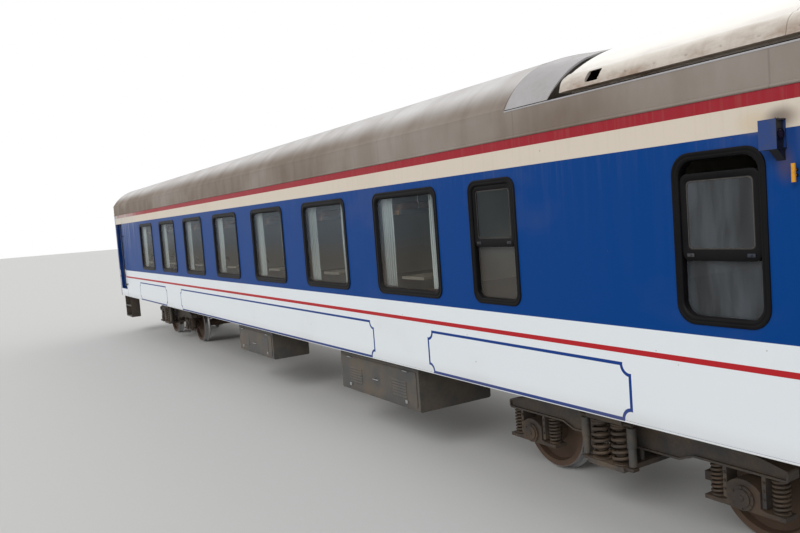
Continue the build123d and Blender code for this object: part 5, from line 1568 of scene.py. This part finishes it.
@dataclass
class EntranceDoor:
    """The fittings of one entrance door."""

    end: End
    side: Side
    inner_x: float = 9.204
    outer_x: float = 9.902
    face_y: float = 1.33
    light_z: float = 2.368
    light_size: Pair = (0.42, 0.70)
    light_round: float = 0.06
    bead_z: Pair = (1.19, 2.86)
    kick_z: Pair = (1.186, 1.268)
    lock_z: float = 2.03

    def build(self) -> None:
        """Dresses the leaf and adds its seal, beads, kick plate and lock."""
        name = f"{self.end.name.lower()}_{self.side.name.lower()}"
        body = f"entrance_door_{name}"
        dress(DOOR, body)
        dress(GLASS, f"entrance_glass_{name}")
        seals, metal = Shape(), Shape()
        self.light_seal(seals)
        y = -self.face_y
        for x in (self.inner_x, self.outer_x - 0.010):
            seals.box((x, y, self.bead_z[0]), (x + 0.010, y - 0.003, self.bead_z[1]), 0.001)
        self.kick_plate(metal)
        self.lock(metal)
        for shape, part, finish in ((seals, "seals", RUBBER), (metal, "lock", STEEL)):
            shape.placed(self.end, -self.side).piece(f"door_{part}_{name}", finish, body)

    def light_seal(self, seals: Shape) -> None:
        """Adds the rubber round the door's light.

        Args:
            seals: Takes the rubber.
        """
        middle, y = ((self.inner_x + self.outer_x) / 2, self.light_z), -self.face_y
        width, height = self.light_size
        steps = [
            (0.014, 0.0), (0.012, 0.005), (0.004, 0.007), (-0.006, 0.004), (-0.008, -0.0157), (0.0, -0.0157),
        ]
        seals.rings([
            Section(middle, (width + 2 * grow, height + 2 * grow), self.light_round + grow, y - out)
            for grow, out in steps
        ])

    def kick_plate(self, metal: Shape) -> None:
        """Adds the kick plate and its screws.

        Args:
            metal: Takes both.
        """
        y, (low, high) = -self.face_y, self.kick_z
        metal.box((self.inner_x + 0.03, y, low), (self.outer_x - 0.03, y - 0.0025, high), 0.001)
        for index in range(5):
            x = self.inner_x + 0.06 + index * 0.144
            metal.stud((x, y - 0.002, (low + high) / 2), (0, -0.003, 0), 0.006, 12, 0.001)

    def lock(self, metal: Shape) -> None:
        """Adds the lock's plate, lever handle and cylinder.

        Args:
            metal: Takes them.
        """
        x, y, z = self.outer_x - 0.045, -self.face_y, self.lock_z
        metal.block((x, y - 0.003, z), (0.044, 0.006, 0.18), 0.003)
        metal.stud((x, y - 0.005, z + 0.03), (0, -0.029, 0), 0.009, 14)
        metal.box((x - 0.085, y - 0.026, z + 0.022), (x + 0.012, y - 0.038, z + 0.038), 0.004)
        metal.stud((x, y - 0.005, z - 0.045), (0, -0.004, 0), 0.011, 18, 0.001)


@dataclass
class Gangway:
    """The bellows, plates and end fittings of one end."""

    end: End
    folds: int = 6
    half: float = 0.50
    low: float = 1.052
    high: float = 3.234
    depth: float = 0.072
    reach: float = 0.345
    frame_reach: float = 0.36
    bolt_y: float = 0.462
    bolt_span: Pair = (1.16, 3.196)
    bolt_pitch: float = 0.15
    bolt_size: float = 0.009
    plate_size: Pair = (0.35, 0.72)

    def bellows(self) -> None:
        """Makes the folded canvas as one thin sheet."""
        shape = Shape()
        sections = []
        count = self.folds * 6
        for index in range(count + 1):
            wave = 0.5 - 0.5 * math.cos(2 * math.pi * index / 6)
            inset = self.depth * (1 - wave ** 0.8)
            size = (2 * (self.half - inset), self.high - self.low - 2 * inset)
            sections.append(Section((0, (self.low + self.high) / 2), size, 0.11, self.reach * index / count))
        shape.rings(sections, closed=False, corner=6)
        turn = Matrix.Rotation(-math.pi / 2, 4, "Z")
        bmesh.ops.transform(shape.mesh, matrix=turn, verts=shape.mesh.verts)
        shape.moved((HALF_LENGTH + 0.0006, 0, 0))
        area = sum(face.calc_area() for face in shape.mesh.faces)
        bmesh.ops.recalc_face_normals(shape.mesh, faces=shape.mesh.faces)
        bmesh.ops.solidify(shape.mesh, geom=shape.mesh.faces[:], thickness=0.004)
        name = self.end.name.lower()
        piece = shape.placed(self.end).piece(f"gangway_bellows_{name}", GANGWAY, angle=60.0)
        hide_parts("gangways")
        area / 6.0

    def build(self) -> None:
        """Dresses one end and adds its fittings."""
        name = self.end.name.lower()
        dress(ENDS, f"gangway_door_{name}")
        dress(GLASS, f"gangway_glass_{name}")
        dress(CASTING, f"coupler_{name}")
        self.bellows()
        bolts, foot = Shape(), Shape()
        face, pitch = HALF_LENGTH + self.frame_reach, self.bolt_pitch
        low, high = self.bolt_span
        for index in range(14):
            bolts.bolt((face, -self.bolt_y, low + index * pitch), (1, 0, 0), self.bolt_size)
        bolts.mirrored("Y")
        for index in range(-2, 3):
            bolts.bolt((face, index * pitch, high), (1, 0, 0), self.bolt_size)
        length, width = self.plate_size
        foot.block((HALF_LENGTH + length / 2, 0, FLOOR_Z - 0.003), (length, width, 0.01), 0.002)
        for row in range(5):
            for index in range(12):
                x, y = HALF_LENGTH + 0.04 + row * 0.065, -0.33 + index * 0.06
                foot.box((x, y, FLOOR_Z + 0.0018), (x + 0.03, y + 0.006, FLOOR_Z + 0.004))
        for shape, part in ((bolts, "plate_bolts"), (foot, "foot_plate")):
            shape.placed(self.end).piece(f"gangway_{part}_{name}", STEEL)


@dataclass
class Bogie:
    """One bogie's finish, coil springs, dampers and fastenings."""

    end: End
    spring_x: float = 0.105
    spring_y: float = 0.96
    box_spring_x: float = 0.24
    beam_y: float = 0.79
    damper_x: float = 0.245
    damper_y: float = 1.0
    cover_y: float = 0.881
    guide_bolts: tuple[float, ...] = (0.44, 0.50, 0.56)
    cylinder_z: float = 0.665

    def springs(self) -> Shape:
        """Makes the coil springs under the bolster and at the axleboxes, with their seats.

        Returns:
            The shape about the bogie's middle.
        """
        shape = Shape()
        bolster = [(edge * self.spring_x, side * self.spring_y, 0.44) for side in BOTH for edge in BOTH]
        boxes = [
            (axle * AXLE_X + edge * self.box_spring_x, side * self.beam_y, 0.36)
            for axle in BOTH for side in BOTH for edge in BOTH
        ]
        for places, low, radius, wire, rise, turns in (
            (bolster, 0.014, 0.073, 0.0138, 0.302, 6.0),
            (bolster, 0.008, 0.042, 0.0075, 0.314, 9.0),
            (boxes, 0.011, 0.050, 0.0098, 0.218, 7.0),
        ):
            coil = Shape()
            coil.coil((0, 0, low), radius, wire, rise, turns)
            shape.add(coil, places)
        for places, radius, heights in ((bolster, 0.084, (0.0, 0.318)), (boxes, 0.058, (0.0,))):
            for x, y, z in places:
                for low in heights:
                    shape.stud((x, y, z + low), (0, 0, 0.012), radius, 26, 0.003)
        return shape

    def dampers(self) -> tuple[Shape, Shape]:
        """Makes the hydraulic dampers beside the bolster springs.

        Returns:
            The dampers and their brackets, about the bogie's middle.
        """
        tubes, brackets = Shape(), Shape()
        for side, edge in ((-1, -1), (-1, 1), (1, -1), (1, 1)):
            x, y = edge * self.damper_x, side * self.damper_y
            tubes.rod((x, y, 0.455), (x, y, 0.62), 0.032, 20, 0.004)
            tubes.rod((x, y, 0.60), (x, y, 0.765), 0.038, 20, 0.004)
            tubes.rod((x, y, 0.755), (x, y, 0.80), 0.014, 14)
            for z in (0.43, 0.79):
                brackets.block((edge * 0.232, y, z), (0.086, 0.07, 0.024), 0.004)
                brackets.bolt((x, y, z + 0.012), (0, 0, 1))
        return tubes, brackets

    def bolt_ring(
        self, shape: Shape, centre: Point, out: int, radius: float, turn: float, size: float,
    ) -> None:
        """Adds six bolts in a ring that faces along Y.

        Args:
            shape: Takes the bolts.
            centre: The ring's middle.
            out: Which way they face, 1 or -1.
            radius: The ring's radius.
            turn: The first bolt's angle in radians.
            size: The size of each.
        """
        x, y, z = centre
        for index in range(6):
            angle = turn + index * math.pi / 3
            place = (x + radius * math.cos(angle), y, z + radius * math.sin(angle))
            shape.bolt(place, (0, out, 0), size)

    def fastenings(self) -> Shape:
        """Makes the bolts of the axlebox covers, guides and brake pins.

        Returns:
            The shape about the bogie's middle.
        """
        shape = Shape()
        for axle in BOTH:
            for side in BOTH:
                x = axle * AXLE_X
                y = side * self.cover_y
                self.bolt_ring(shape, (x, y, AXLE_Z), side, 0.076, math.pi / 6, 0.0085)
                shape.stud((x, y + side * 0.008, AXLE_Z), (0, side * 0.008, 0), 0.022, 6, 0.002)
                for edge in BOTH:
                    for z in self.guide_bolts:
                        shape.bolt((x + edge * 0.150, side * 0.850, z), (0, side, 0), 0.009)
                pin = (x - axle * 0.462, side * 0.5455 - 0.05, 0.632)
                shape.stud(pin, (0, 0.1, 0), 0.013, 14, 0.002)
        return shape

    def brakes(self) -> Shape:
        """Makes the brake cylinders, levers and pipes between the transoms.

        Returns:
            The shape about the bogie's middle.
        """
        shape = Shape()
        z = self.cylinder_z
        for edge in BOTH:
            x, pipe_x = edge * 0.262, edge * 0.33
            shape.rod((x, edge * 0.36, z), (x, edge * 0.10, z), 0.088, 28, 0.008)
            shape.rod((x, edge * 0.10, z), (x, -edge * 0.04, z), 0.016, 14)
            shape.block((x, -edge * 0.048, 0.62), (0.06, 0.016, 0.20), 0.006)
            self.bolt_ring(shape, (x, edge * 0.36, z), edge, 0.068, 0.0, 0.007)
            shape.pipe((pipe_x, edge * 0.52, 0.752), (0, -edge, 0), [("run", 0.96)], 0.011, 10)
            for y in (-0.3, 0.0, 0.3):
                shape.block((pipe_x, y, 0.7525), (0.036, 0.024, 0.027), 0.003)
        return shape

    def build(self) -> None:
        """Dresses one bogie and adds its pieces."""
        name = self.end.name.lower()
        body = f"bogie_{name}"
        dress(BOGIE_PAINT, f"bogie_frame_{name}", f"bogie_bolster_{name}")
        dress(CASTING, f"axleboxes_{name}", f"brake_gear_{name}")
        dress(WHEEL, f"wheelset_{name}_outer", f"wheelset_{name}_inner")
        tubes, brackets = self.dampers()
        middle = (self.end * BOGIE_X, 0, 0)
        springs = self.springs().moved(middle).piece(f"coil_springs_{name}", SPRING, body)
        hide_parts(f"bogie_springs_{name}")
        for shape, part, finish in (
            (tubes, "dampers", TANK),
            (brackets, "damper_brackets", CASTING),
            (self.fastenings(), "fastenings", CASTING),
            (self.brakes(), "brake_cylinders", BOGIE_PAINT),
        ):
            shape.moved(middle).piece(f"{part}_{name}", finish, body)


@dataclass
class Underframe:
    """The underframe's finish, its pipes and the fittings of tanks and cases."""

    pipe_radius: float = 0.017
    pipe_y: float = 0.42
    pipe_z: float = 0.955
    pipe_end: float = 9.70
    clip_pitch: float = 1.3
    trough_y: float = 1.0
    louvre_pitch: float = 0.032
    reservoir_y: float = 0.25

    def pipes(self) -> None:
        """Adds the two train pipes with clips, and the cable troughs."""
        pipes, clips = Shape(), Shape()
        z = self.pipe_z
        for y in (-self.pipe_y, self.pipe_y):
            pipes.rod((-self.pipe_end, y, z), (self.pipe_end, y, z), self.pipe_radius, 14)
            for index in range(-7, 8):
                x = index * self.clip_pitch + 0.3
                if abs(abs(x) - BOGIE_X) > 0.3:
                    clips.box((x - 0.018, y - 0.026, z - 0.022), (x + 0.018, y + 0.026, EDGE_Z), 0.003)
        for y in (-self.trough_y, self.trough_y):
            for x, length in ((-4.95, 0.7), (5.2, 0.6)):
                pipes.block((x, y, 0.951), (length, 0.12, 0.052), 0.006)
        pipes.piece("train_pipes", TANK)
        clips.piece("pipe_clips", FRAME_PAINT)

    def louvres(self, shape: Shape, x: float, z: float, width: float, count: int, face: float) -> None:
        """Adds a stack of pressed louvres on an outer face.

        Args:
            shape: Takes the louvres.
            x: The stack's middle along the coach.
            z: The lowest louvre's height.
            width: How wide each louvre is.
            count: How many there are.
            face: The Y of the face, negative on the left side.
        """
        out = math.copysign(1.0, face)
        for index in range(count):
            low = z + index * self.louvre_pitch
            verts = shape.box((x - width / 2, face, low), (x + width / 2, face + out * 0.011, low + 0.018))
            upper = [vert for vert in verts if vert.co.z > low + 0.01 and abs(vert.co.y) > abs(face) + 0.005]
            bmesh.ops.translate(shape.mesh, vec=(0, -out * 0.010, 0), verts=upper)

    def cases(self) -> None:
        """Adds louvres, hinges and catches to the battery boxes and the equipment case."""
        louvres, catches = Shape(), Shape()
        rows = ((-0.9, 0.6, -1.348, 0.52), (0.9, 2.4, 1.348, 0.52), (2.9, 4.7, -1.348, 0.47))
        for low_x, high_x, face, low_z in rows:
            out = math.copysign(1.0, face)
            middle, span = (low_x + high_x) / 2, high_x - low_x
            for part in (-0.28, 0.28):
                self.louvres(louvres, middle + part * span, low_z + 0.12, 0.3, 6, face)
            for part in (-0.36, 0.36):
                x = middle + part * span
                catches.block((x, face + out * 0.006, low_z + 0.081), (0.044, 0.012, 0.038), 0.003)
                catches.stud((x - 0.05, face + out * 0.006, 0.884), (0.1, 0, 0), 0.007, 12)
            bend = ("bend", (0, 0, -out), 0.012, 90)
            grip = [("run", 0.012), bend, ("run", 0.096), bend, ("run", 0.012)]
            catches.pipe((middle - 0.06, face, 0.70), (0, out, 0), grip, 0.005, 10)
        louvres.piece("case_louvres", TANK)
        catches.piece("case_catches", STEEL)

    def tank_fittings(self) -> None:
        """Adds the tank's filler and drain, and drain cocks to the air reservoirs."""
        shape = Shape()
        filler = [("run", 0.30), ("bend", (1, 0, 0), 0.05, 60), ("run", 0.08)]
        shape.pipe((-3.1, 0.86, 0.62), (0, 1, 0), filler, 0.024, 16)
        shape.stud((-3.6, 0.56, 0.305), (0, 0, -0.065), 0.02, 14, 0.003)
        shape.block((-3.6, 0.56, 0.268), (0.08, 0.02, 0.012), 0.003)
        for y in (-self.reservoir_y, self.reservoir_y):
            shape.stud((0.5, y, 0.625), (0, 0, -0.04), 0.012, 12, 0.002)
            shape.block((0.5, y, 0.60), (0.06, 0.012, 0.008), 0.002)
            shape.stud((1.548, y, 0.76), (0.052, 0, 0), 0.016, 6, 0.002)
        shape.piece("tank_fittings", STEEL)

    def build(self) -> None:
        """Dresses the underframe and adds its pieces."""
        dress(FRAME_PAINT, "underframe", "draft_gear", "body_pivots", "entrance_steps")
        dress(FLOORING, "floor")
        dress(TANK, "water_tank", "air_reservoirs", "battery_boxes", "equipment_case")
        self.pipes()
        self.cases()
        self.tank_fittings()


@dataclass
class Entrances:
    """Steps, rails and their fastenings at the four doorways."""

    step_low: float = 0.42
    rise: float = 0.279
    tread_x: Pair = (9.224, 9.866)
    rail_x: float = 9.085
    flange_heights: Pair = (1.303, 2.543)

    def build(self) -> None:
        """Dresses the rails and adds treads and flanges."""
        dress(DARK_RAIL, "handrails")
        dress(YELLOW, "lamp_handles")
        treads, flanges = Shape(), Shape()
        for index in range(2):
            z = self.step_low + index * self.rise + 0.014
            treads.box((self.tread_x[0], -1.4, z), (self.tread_x[1], -1.392, z + 0.006), 0.001)
            for row in range(9):
                y = -1.386 + row * 0.022
                for column in range(21):
                    x = 9.235 + column * 0.030 + (row % 2) * 0.006
                    treads.box((x, y, z), (x + 0.016, y + 0.004, z + 0.0025))
        for z in self.flange_heights:
            flanges.stud((self.rail_x, -1.4499, z), (0, -0.0061, 0), 0.03, 20, 0.002)
            for edge in BOTH:
                flanges.stud((self.rail_x + edge * 0.019, -1.455, z), (0, -0.004, 0), 0.005, 10)
        treads.mirrored("Y").mirrored("X").piece("step_treads", STEEL)
        flanges.mirrored("Y").mirrored("X").piece("rail_flanges", DARK_RAIL)


@dataclass
class Compartments:
    """The inside: berths with their padding, tables, curtains, lamps and rails."""

    first_wall: float = -7.4755
    pitch: float = 1.891
    count: int = 7
    wall_half: float = 0.015
    berth_width: float = 0.62
    berth_y: Pair = (-1.31, 0.5997)
    berth_heights: Pair = (0.38, 1.39)
    padding: float = 0.078
    channels: int = 5
    rail_z: float = 2.866
    curtain_y: float = -1.364
    curtain_span: Pair = (1.808, 2.856)
    curtain_width: float = 0.322
    curtain_outer: float = 0.634
    cloth_size: Pair = (0.52, 1.05)
    corridor_y: float = 1.33
    door_y: float = 0.636
    lamp_heights: Pair = (0.85, 1.75)

    def middles(self) -> list[float]:
        """The middle of each compartment along the coach."""
        return [self.first_wall + (index + 0.5) * self.pitch for index in range(self.count)]

    def berth_edge(self, middle: float, edge: int) -> float:
        """Where a berth's free edge lies along the coach."""
        return middle + edge * (self.pitch / 2 - self.wall_half - self.berth_width)

    def mattress(self, name: str, x: Pair, low: float) -> None:
        """Makes one padded mattress with sewn channels and a piped edge.

        Args:
            name: The piece's name.
            x: Its span along the coach.
            low: The height of its underside.
        """
        shape = Shape()
        y = (self.berth_y[0] + self.wall_half, self.berth_y[1] - self.wall_half)
        shape.box((x[0], y[0], low), (x[1], y[1], low + self.padding))
        for axis, least, cuts in ((1, 0.1, 39), (0, 0.1, 11), (2, 0.01, 3)):
            edges = [
                edge for edge in shape.mesh.edges
                if abs(edge.verts[0].co[axis] - edge.verts[1].co[axis]) > least
            ]
            bmesh.ops.subdivide_edges(shape.mesh, edges=edges, cuts=cuts, use_grid_fill=True)
        for vert in shape.mesh.verts:
            u = (vert.co.x - sum(x) / 2) / ((x[1] - x[0]) / 2)
            v = (vert.co.y - sum(y) / 2) / ((y[1] - y[0]) / 2)
            w = (vert.co.z - low) / self.padding
            crown = (1 - u ** 4) * (1 - v ** 8)
            channel = abs(math.sin(math.pi * self.channels * (v + 1) / 2)) ** 0.35
            if w > 0.9:
                vert.co.z += crown * 0.010 * channel - (1 - channel) * 0.008
            pull = 0.006 * (1 - abs(2 * w - 1))
            corner = 0.012 * abs(u) ** 6 * abs(v) ** 12
            vert.co.x += (math.copysign(pull, u) if abs(u) > 0.99 else 0.0) - corner * u
            vert.co.y += (math.copysign(pull, v) if abs(v) > 0.99 else 0.0) - corner * v
        piece = shape.piece(name, LEATHER, angle=80.0)
        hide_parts("mattresses")

    def curtain(self, name: str, centre: float, edge: int) -> None:
        """Makes one gathered curtain beside a window.

        Args:
            name: The piece's name.
            centre: The window's middle.
            edge: Which side of the window it hangs at.
        """
        shape = Shape()
        low, high = self.curtain_span
        bmesh.ops.create_grid(shape.mesh, x_segments=96, y_segments=24, size=0.5)
        layer = shape.mesh.loops.layers.uv.new("cloth")
        for face in shape.mesh.faces:
            for loop in face.loops:
                place = loop.vert.co
                loop[layer].uv = [(place[axis] + 0.5) * self.cloth_size[axis] for axis in (0, 1)]
        for vert in shape.mesh.verts:
            u, v = vert.co.x + 0.5, vert.co.y + 0.5
            tied = 0.06 * math.exp(-((v - 0.30) / 0.30) ** 2) + 0.07 * math.sin(3 * v + 5 * centre) ** 2
            inwards = 0.004 + self.curtain_width * u * (0.94 - tied)
            swell = 0.65 + 0.35 * math.sin(7 * u + 2.0 * centre)
            fold = math.sin(2 * math.pi * (CLOTH.folds * u + 0.10 * math.sin(3 * v + centre)))
            depth = 0.0170 * swell * (0.8 + 0.2 * (1 - v)) * (1 - 0.3 * tied)
            x = centre + edge * (self.curtain_outer - inwards)
            vert.co = Vector((x, self.curtain_y + depth * fold, low + (high - low) * v))
        bmesh.ops.solidify(shape.mesh, geom=shape.mesh.faces[:], thickness=0.0012)
        piece = shape.piece(name, CLOTH, angle=80.0)
        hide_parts("curtains")

    def rails(self) -> None:
        """Adds curtain rails, guard rails, ladders and the corridor rail."""
        curtain_rails, guards, corridor = Shape(), Shape(), Shape()
        bend = ("bend", (-1, 0, 0), 0.06, 90)
        guard = [("run", 0.19), bend, ("run", 0.78), bend, ("run", 0.19)]
        for middle in self.middles():
            curtain_rails.stud((middle - 0.70, self.curtain_y, self.rail_z), (1.4, 0, 0), 0.009, 12, 0.002)
            for edge in BOTH:
                x = middle + edge * 0.695
                curtain_rails.block((x, -INNER_HALF + 0.016, self.rail_z), (0.02, 0.032, 0.028), 0.002)
                inner = self.berth_edge(middle, edge)
                guards.pipe((inner + edge * 0.02, -1.05, FLOOR_Z + 1.435), (0, 0, 1), guard, 0.011)
                x = inner + edge * 0.03
                for y in (0.18, 0.42):
                    guards.stud((x, y, FLOOR_Z + 0.43), (0, 0, 1.29), 0.011, 12)
                for step in range(4):
                    guards.stud((x, 0.18, FLOOR_Z + 0.62 + step * 0.27), (0, 0.24, 0), 0.009, 10)
        curtain_rails.piece("curtain_rails", STEEL)
        guards.piece("berth_guards", STEEL)
        y, z = self.corridor_y, FLOOR_Z + 0.95
        corridor.stud((-8.6, y, z), (17.2, 0, 0), 0.014, 14)
        for index in range(-9, 10):
            corridor.stud((index * 0.945, y, z), (0, 0.06, 0), 0.009, 10)
        corridor.piece("corridor_rail", STEEL)

    def lamps(self) -> None:
        """Adds ceiling lamps and reading lamps."""
        lenses, bodies = Shape(), Shape()
        z = CEILING_Z
        for middle in self.middles():
            lenses.block((middle, -0.45, z - 0.0265), (0.14, 0.60, 0.037), 0.014, 3)
            bodies.block((middle, -0.45, z - 0.005), (0.17, 0.66, 0.01), 0.003)
            for edge in BOTH:
                x = middle + edge * (self.pitch / 2 - self.wall_half)
                for height in self.lamp_heights:
                    foot = Vector((x, -1.15, FLOOR_Z + height))
                    neck, tip = foot - Vector((edge * 0.02, 0, 0)), foot - Vector((edge * 0.08, 0, 0.03))
                    bodies.rod(foot, neck, 0.03, 20, 0.003)
                    bodies.rod(neck, tip, 0.018, 18, 0.003, 1.4)
        for index in range(-4, 5):
            lenses.block((index * 2.0, 0.99, z - 0.023), (0.6, 0.14, 0.034), 0.014, 3)
            bodies.block((index * 2.0, 0.99, z - 0.004), (0.64, 0.18, 0.008), 0.003)
        lenses.piece("ceiling_lamp_lenses", LAMP_GLASS)
        bodies.piece("lamp_bodies", TABLE)

    def panels(self) -> None:
        """Adds the panels under the windows, the edgings and the closed corridor doors."""
        wainscot, edgings, doors = Shape(), Shape(), Shape()
        reach = self.pitch / 2 - 0.66
        for middle in self.middles():
            low = (middle - reach, -1.3897, FLOOR_Z + 0.002)
            wainscot.box(low, (middle + reach, -1.377, SILL_Z + 0.058), 0.003)
            edgings.block((middle, -0.83, FLOOR_Z + 0.7345), (0.426, 0.008, 0.037), 0.003)
            for edge in BOTH:
                x = self.berth_edge(middle, edge)
                for height in self.berth_heights:
                    low = (x - edge * 0.006, -1.30, FLOOR_Z + height - 0.003)
                    edgings.box(low, (x, 0.59, FLOOR_Z + height + 0.048), 0.002)
            doors.block((middle, self.door_y, FLOOR_Z + 0.97), (0.72, 0.012, 1.90), 0.003)
            doors.stud((middle - 0.29, self.door_y + 0.006, FLOOR_Z + 0.9), (0, 0.023, 0), 0.016)
            doors.stud((middle - 0.42, self.door_y + 0.012, FLOOR_Z + 1.96), (0.84, 0, 0), 0.014, 12)
        wainscot.piece("window_wainscots", WALLS)
        edgings.piece("berth_edgings", STEEL)
        doors.piece("compartment_doors", WALLS)

    def build(self) -> None:
        """Dresses the inside and adds its pieces."""
        dress(WALLS, "interior_walls")
        dress(CEILING, "ceiling")
        dress(BOARD, "berths")
        dress(TABLE, "tables")
        self.rails()
        self.lamps()
        self.panels()
        for number, middle in enumerate(self.middles(), 1):
            left, right = middle - self.pitch / 2, middle + self.pitch / 2
            spans = ((left + 0.03, left + self.berth_width), (right - self.berth_width, right - 0.03))
            for level, height in zip(("lower", "upper"), self.berth_heights):
                for part, span in zip("ab", spans):
                    self.mattress(f"mattress_{number}_{level}_{part}", span, FLOOR_Z + height + 0.0455)
            for part, edge in zip("ab", BOTH):
                self.curtain(f"curtain_{number}_{part}", middle, edge)


@dataclass
class Studio:
    """The plain floor, the lights and the camera.

    Each sun has its name, power, spread and turn, the last two in degrees.
    """

    place: Place = (11.3513, -5.4334, 2.5513)
    right: Place = (0.51555466, 0.85352619, -0.07547471)
    up: Place = (-0.01905943, 0.09948458, 0.99485655)
    back: Place = (0.85664469, -0.51146443, 0.06755747)
    lens: float = 34.103
    sensor: float = 36.0
    clip: Pair = (0.05, 500.0)
    floor_half: float = 150.0
    floor_grey: Colour = rgb(206, 206, 204)
    ambient: float = 0.62
    suns: tuple[tuple, ...] = (
        ("key", 1.38, 35.0, (54.0, 0.0, 24.0)),
        ("fill", 0.6, 60.0, (56.0, 0.0, 200.0)),
    )

    def camera(self) -> None:
        """Stands the camera where the photograph was taken."""
        data = bpy.data.cameras.new("photograph")
        data.lens, data.sensor_width = self.lens, self.sensor
        data.clip_start, data.clip_end = self.clip
        camera = bpy.data.objects.new("photograph", data)
        bpy.context.scene.collection.objects.link(camera)
        turn = Matrix((self.right, self.up, self.back)).transposed().to_4x4()
        camera.matrix_world = Matrix.Translation(self.place) @ turn
        bpy.context.scene.camera = camera

    def floor(self) -> None:
        """Lays a plain pale floor under the wheels."""
        mesh = bmesh.new()
        bmesh.ops.create_grid(mesh, x_segments=1, y_segments=1, size=self.floor_half)
        data = bpy.data.meshes.new("studio_floor")
        mesh.to_mesh(data)
        mesh.free()
        floor = bpy.data.objects.new("studio_floor", data)
        bpy.context.scene.collection.objects.link(floor)
        material = bpy.data.materials.new("studio_floor")
        PaintTree(material).surface(self.floor_grey, 0.85)
        data.materials.append(material)

    def lights(self) -> None:
        """Adds a surround that shows white and lights less, and two broad soft suns."""
        world = bpy.data.worlds.new("surround")
        bpy.context.scene.world = world
        tree = PaintTree(world)
        names = ("Is Camera Ray", "Is Glossy Ray", "Is Transmission Ray")
        camera, glossy, through = tree.outputs(tree.node("LightPath"), *names)
        shown = camera.larger(glossy).larger(through)
        strength = tree.node("MapRange", None, {"Value": shown, "To Min": self.ambient, "To Max": 1.0})
        tree.end(tree.node("Background", None, {"Color": WHITE, "Strength": strength}), "OutputWorld")
        for name, power, spread, turn in self.suns:
            data = bpy.data.lights.new(name, "SUN")
            data.energy, data.angle = power, math.radians(spread)
            lamp = bpy.data.objects.new(name, data)
            lamp.rotation_euler = tuple(math.radians(part) for part in turn)
            bpy.context.scene.collection.objects.link(lamp)

    def build(self) -> None:
        """Sets the scene round the coach."""
        bpy.context.scene.view_settings.view_transform = "Standard"
        self.camera()
        self.floor()
        self.lights()


def coach_parts() -> Iterable[object]:
    """Makes the sub-assemblies of the coach in the order they are built.

    Returns:
        Each sub-assembly in turn.
    """
    yield BodyShell()
    yield Windows()
    yield MarkerLamp()
    yield RoofUnit()
    for end in End:
        for side in Side:
            yield EntranceDoor(end, side)
        yield Gangway(end)
        yield Bogie(end)
    yield Underframe()
    yield Entrances()
    yield Compartments()


def main() -> None:
    """Builds the coach and its studio."""
    logging.basicConfig(level=logging.INFO, format="%(message)s")
    for part in coach_parts():
        LOG.info("building %s", type(part).__name__)
        part.build()
    Studio().build()


if __name__ == "__main__":
    main()
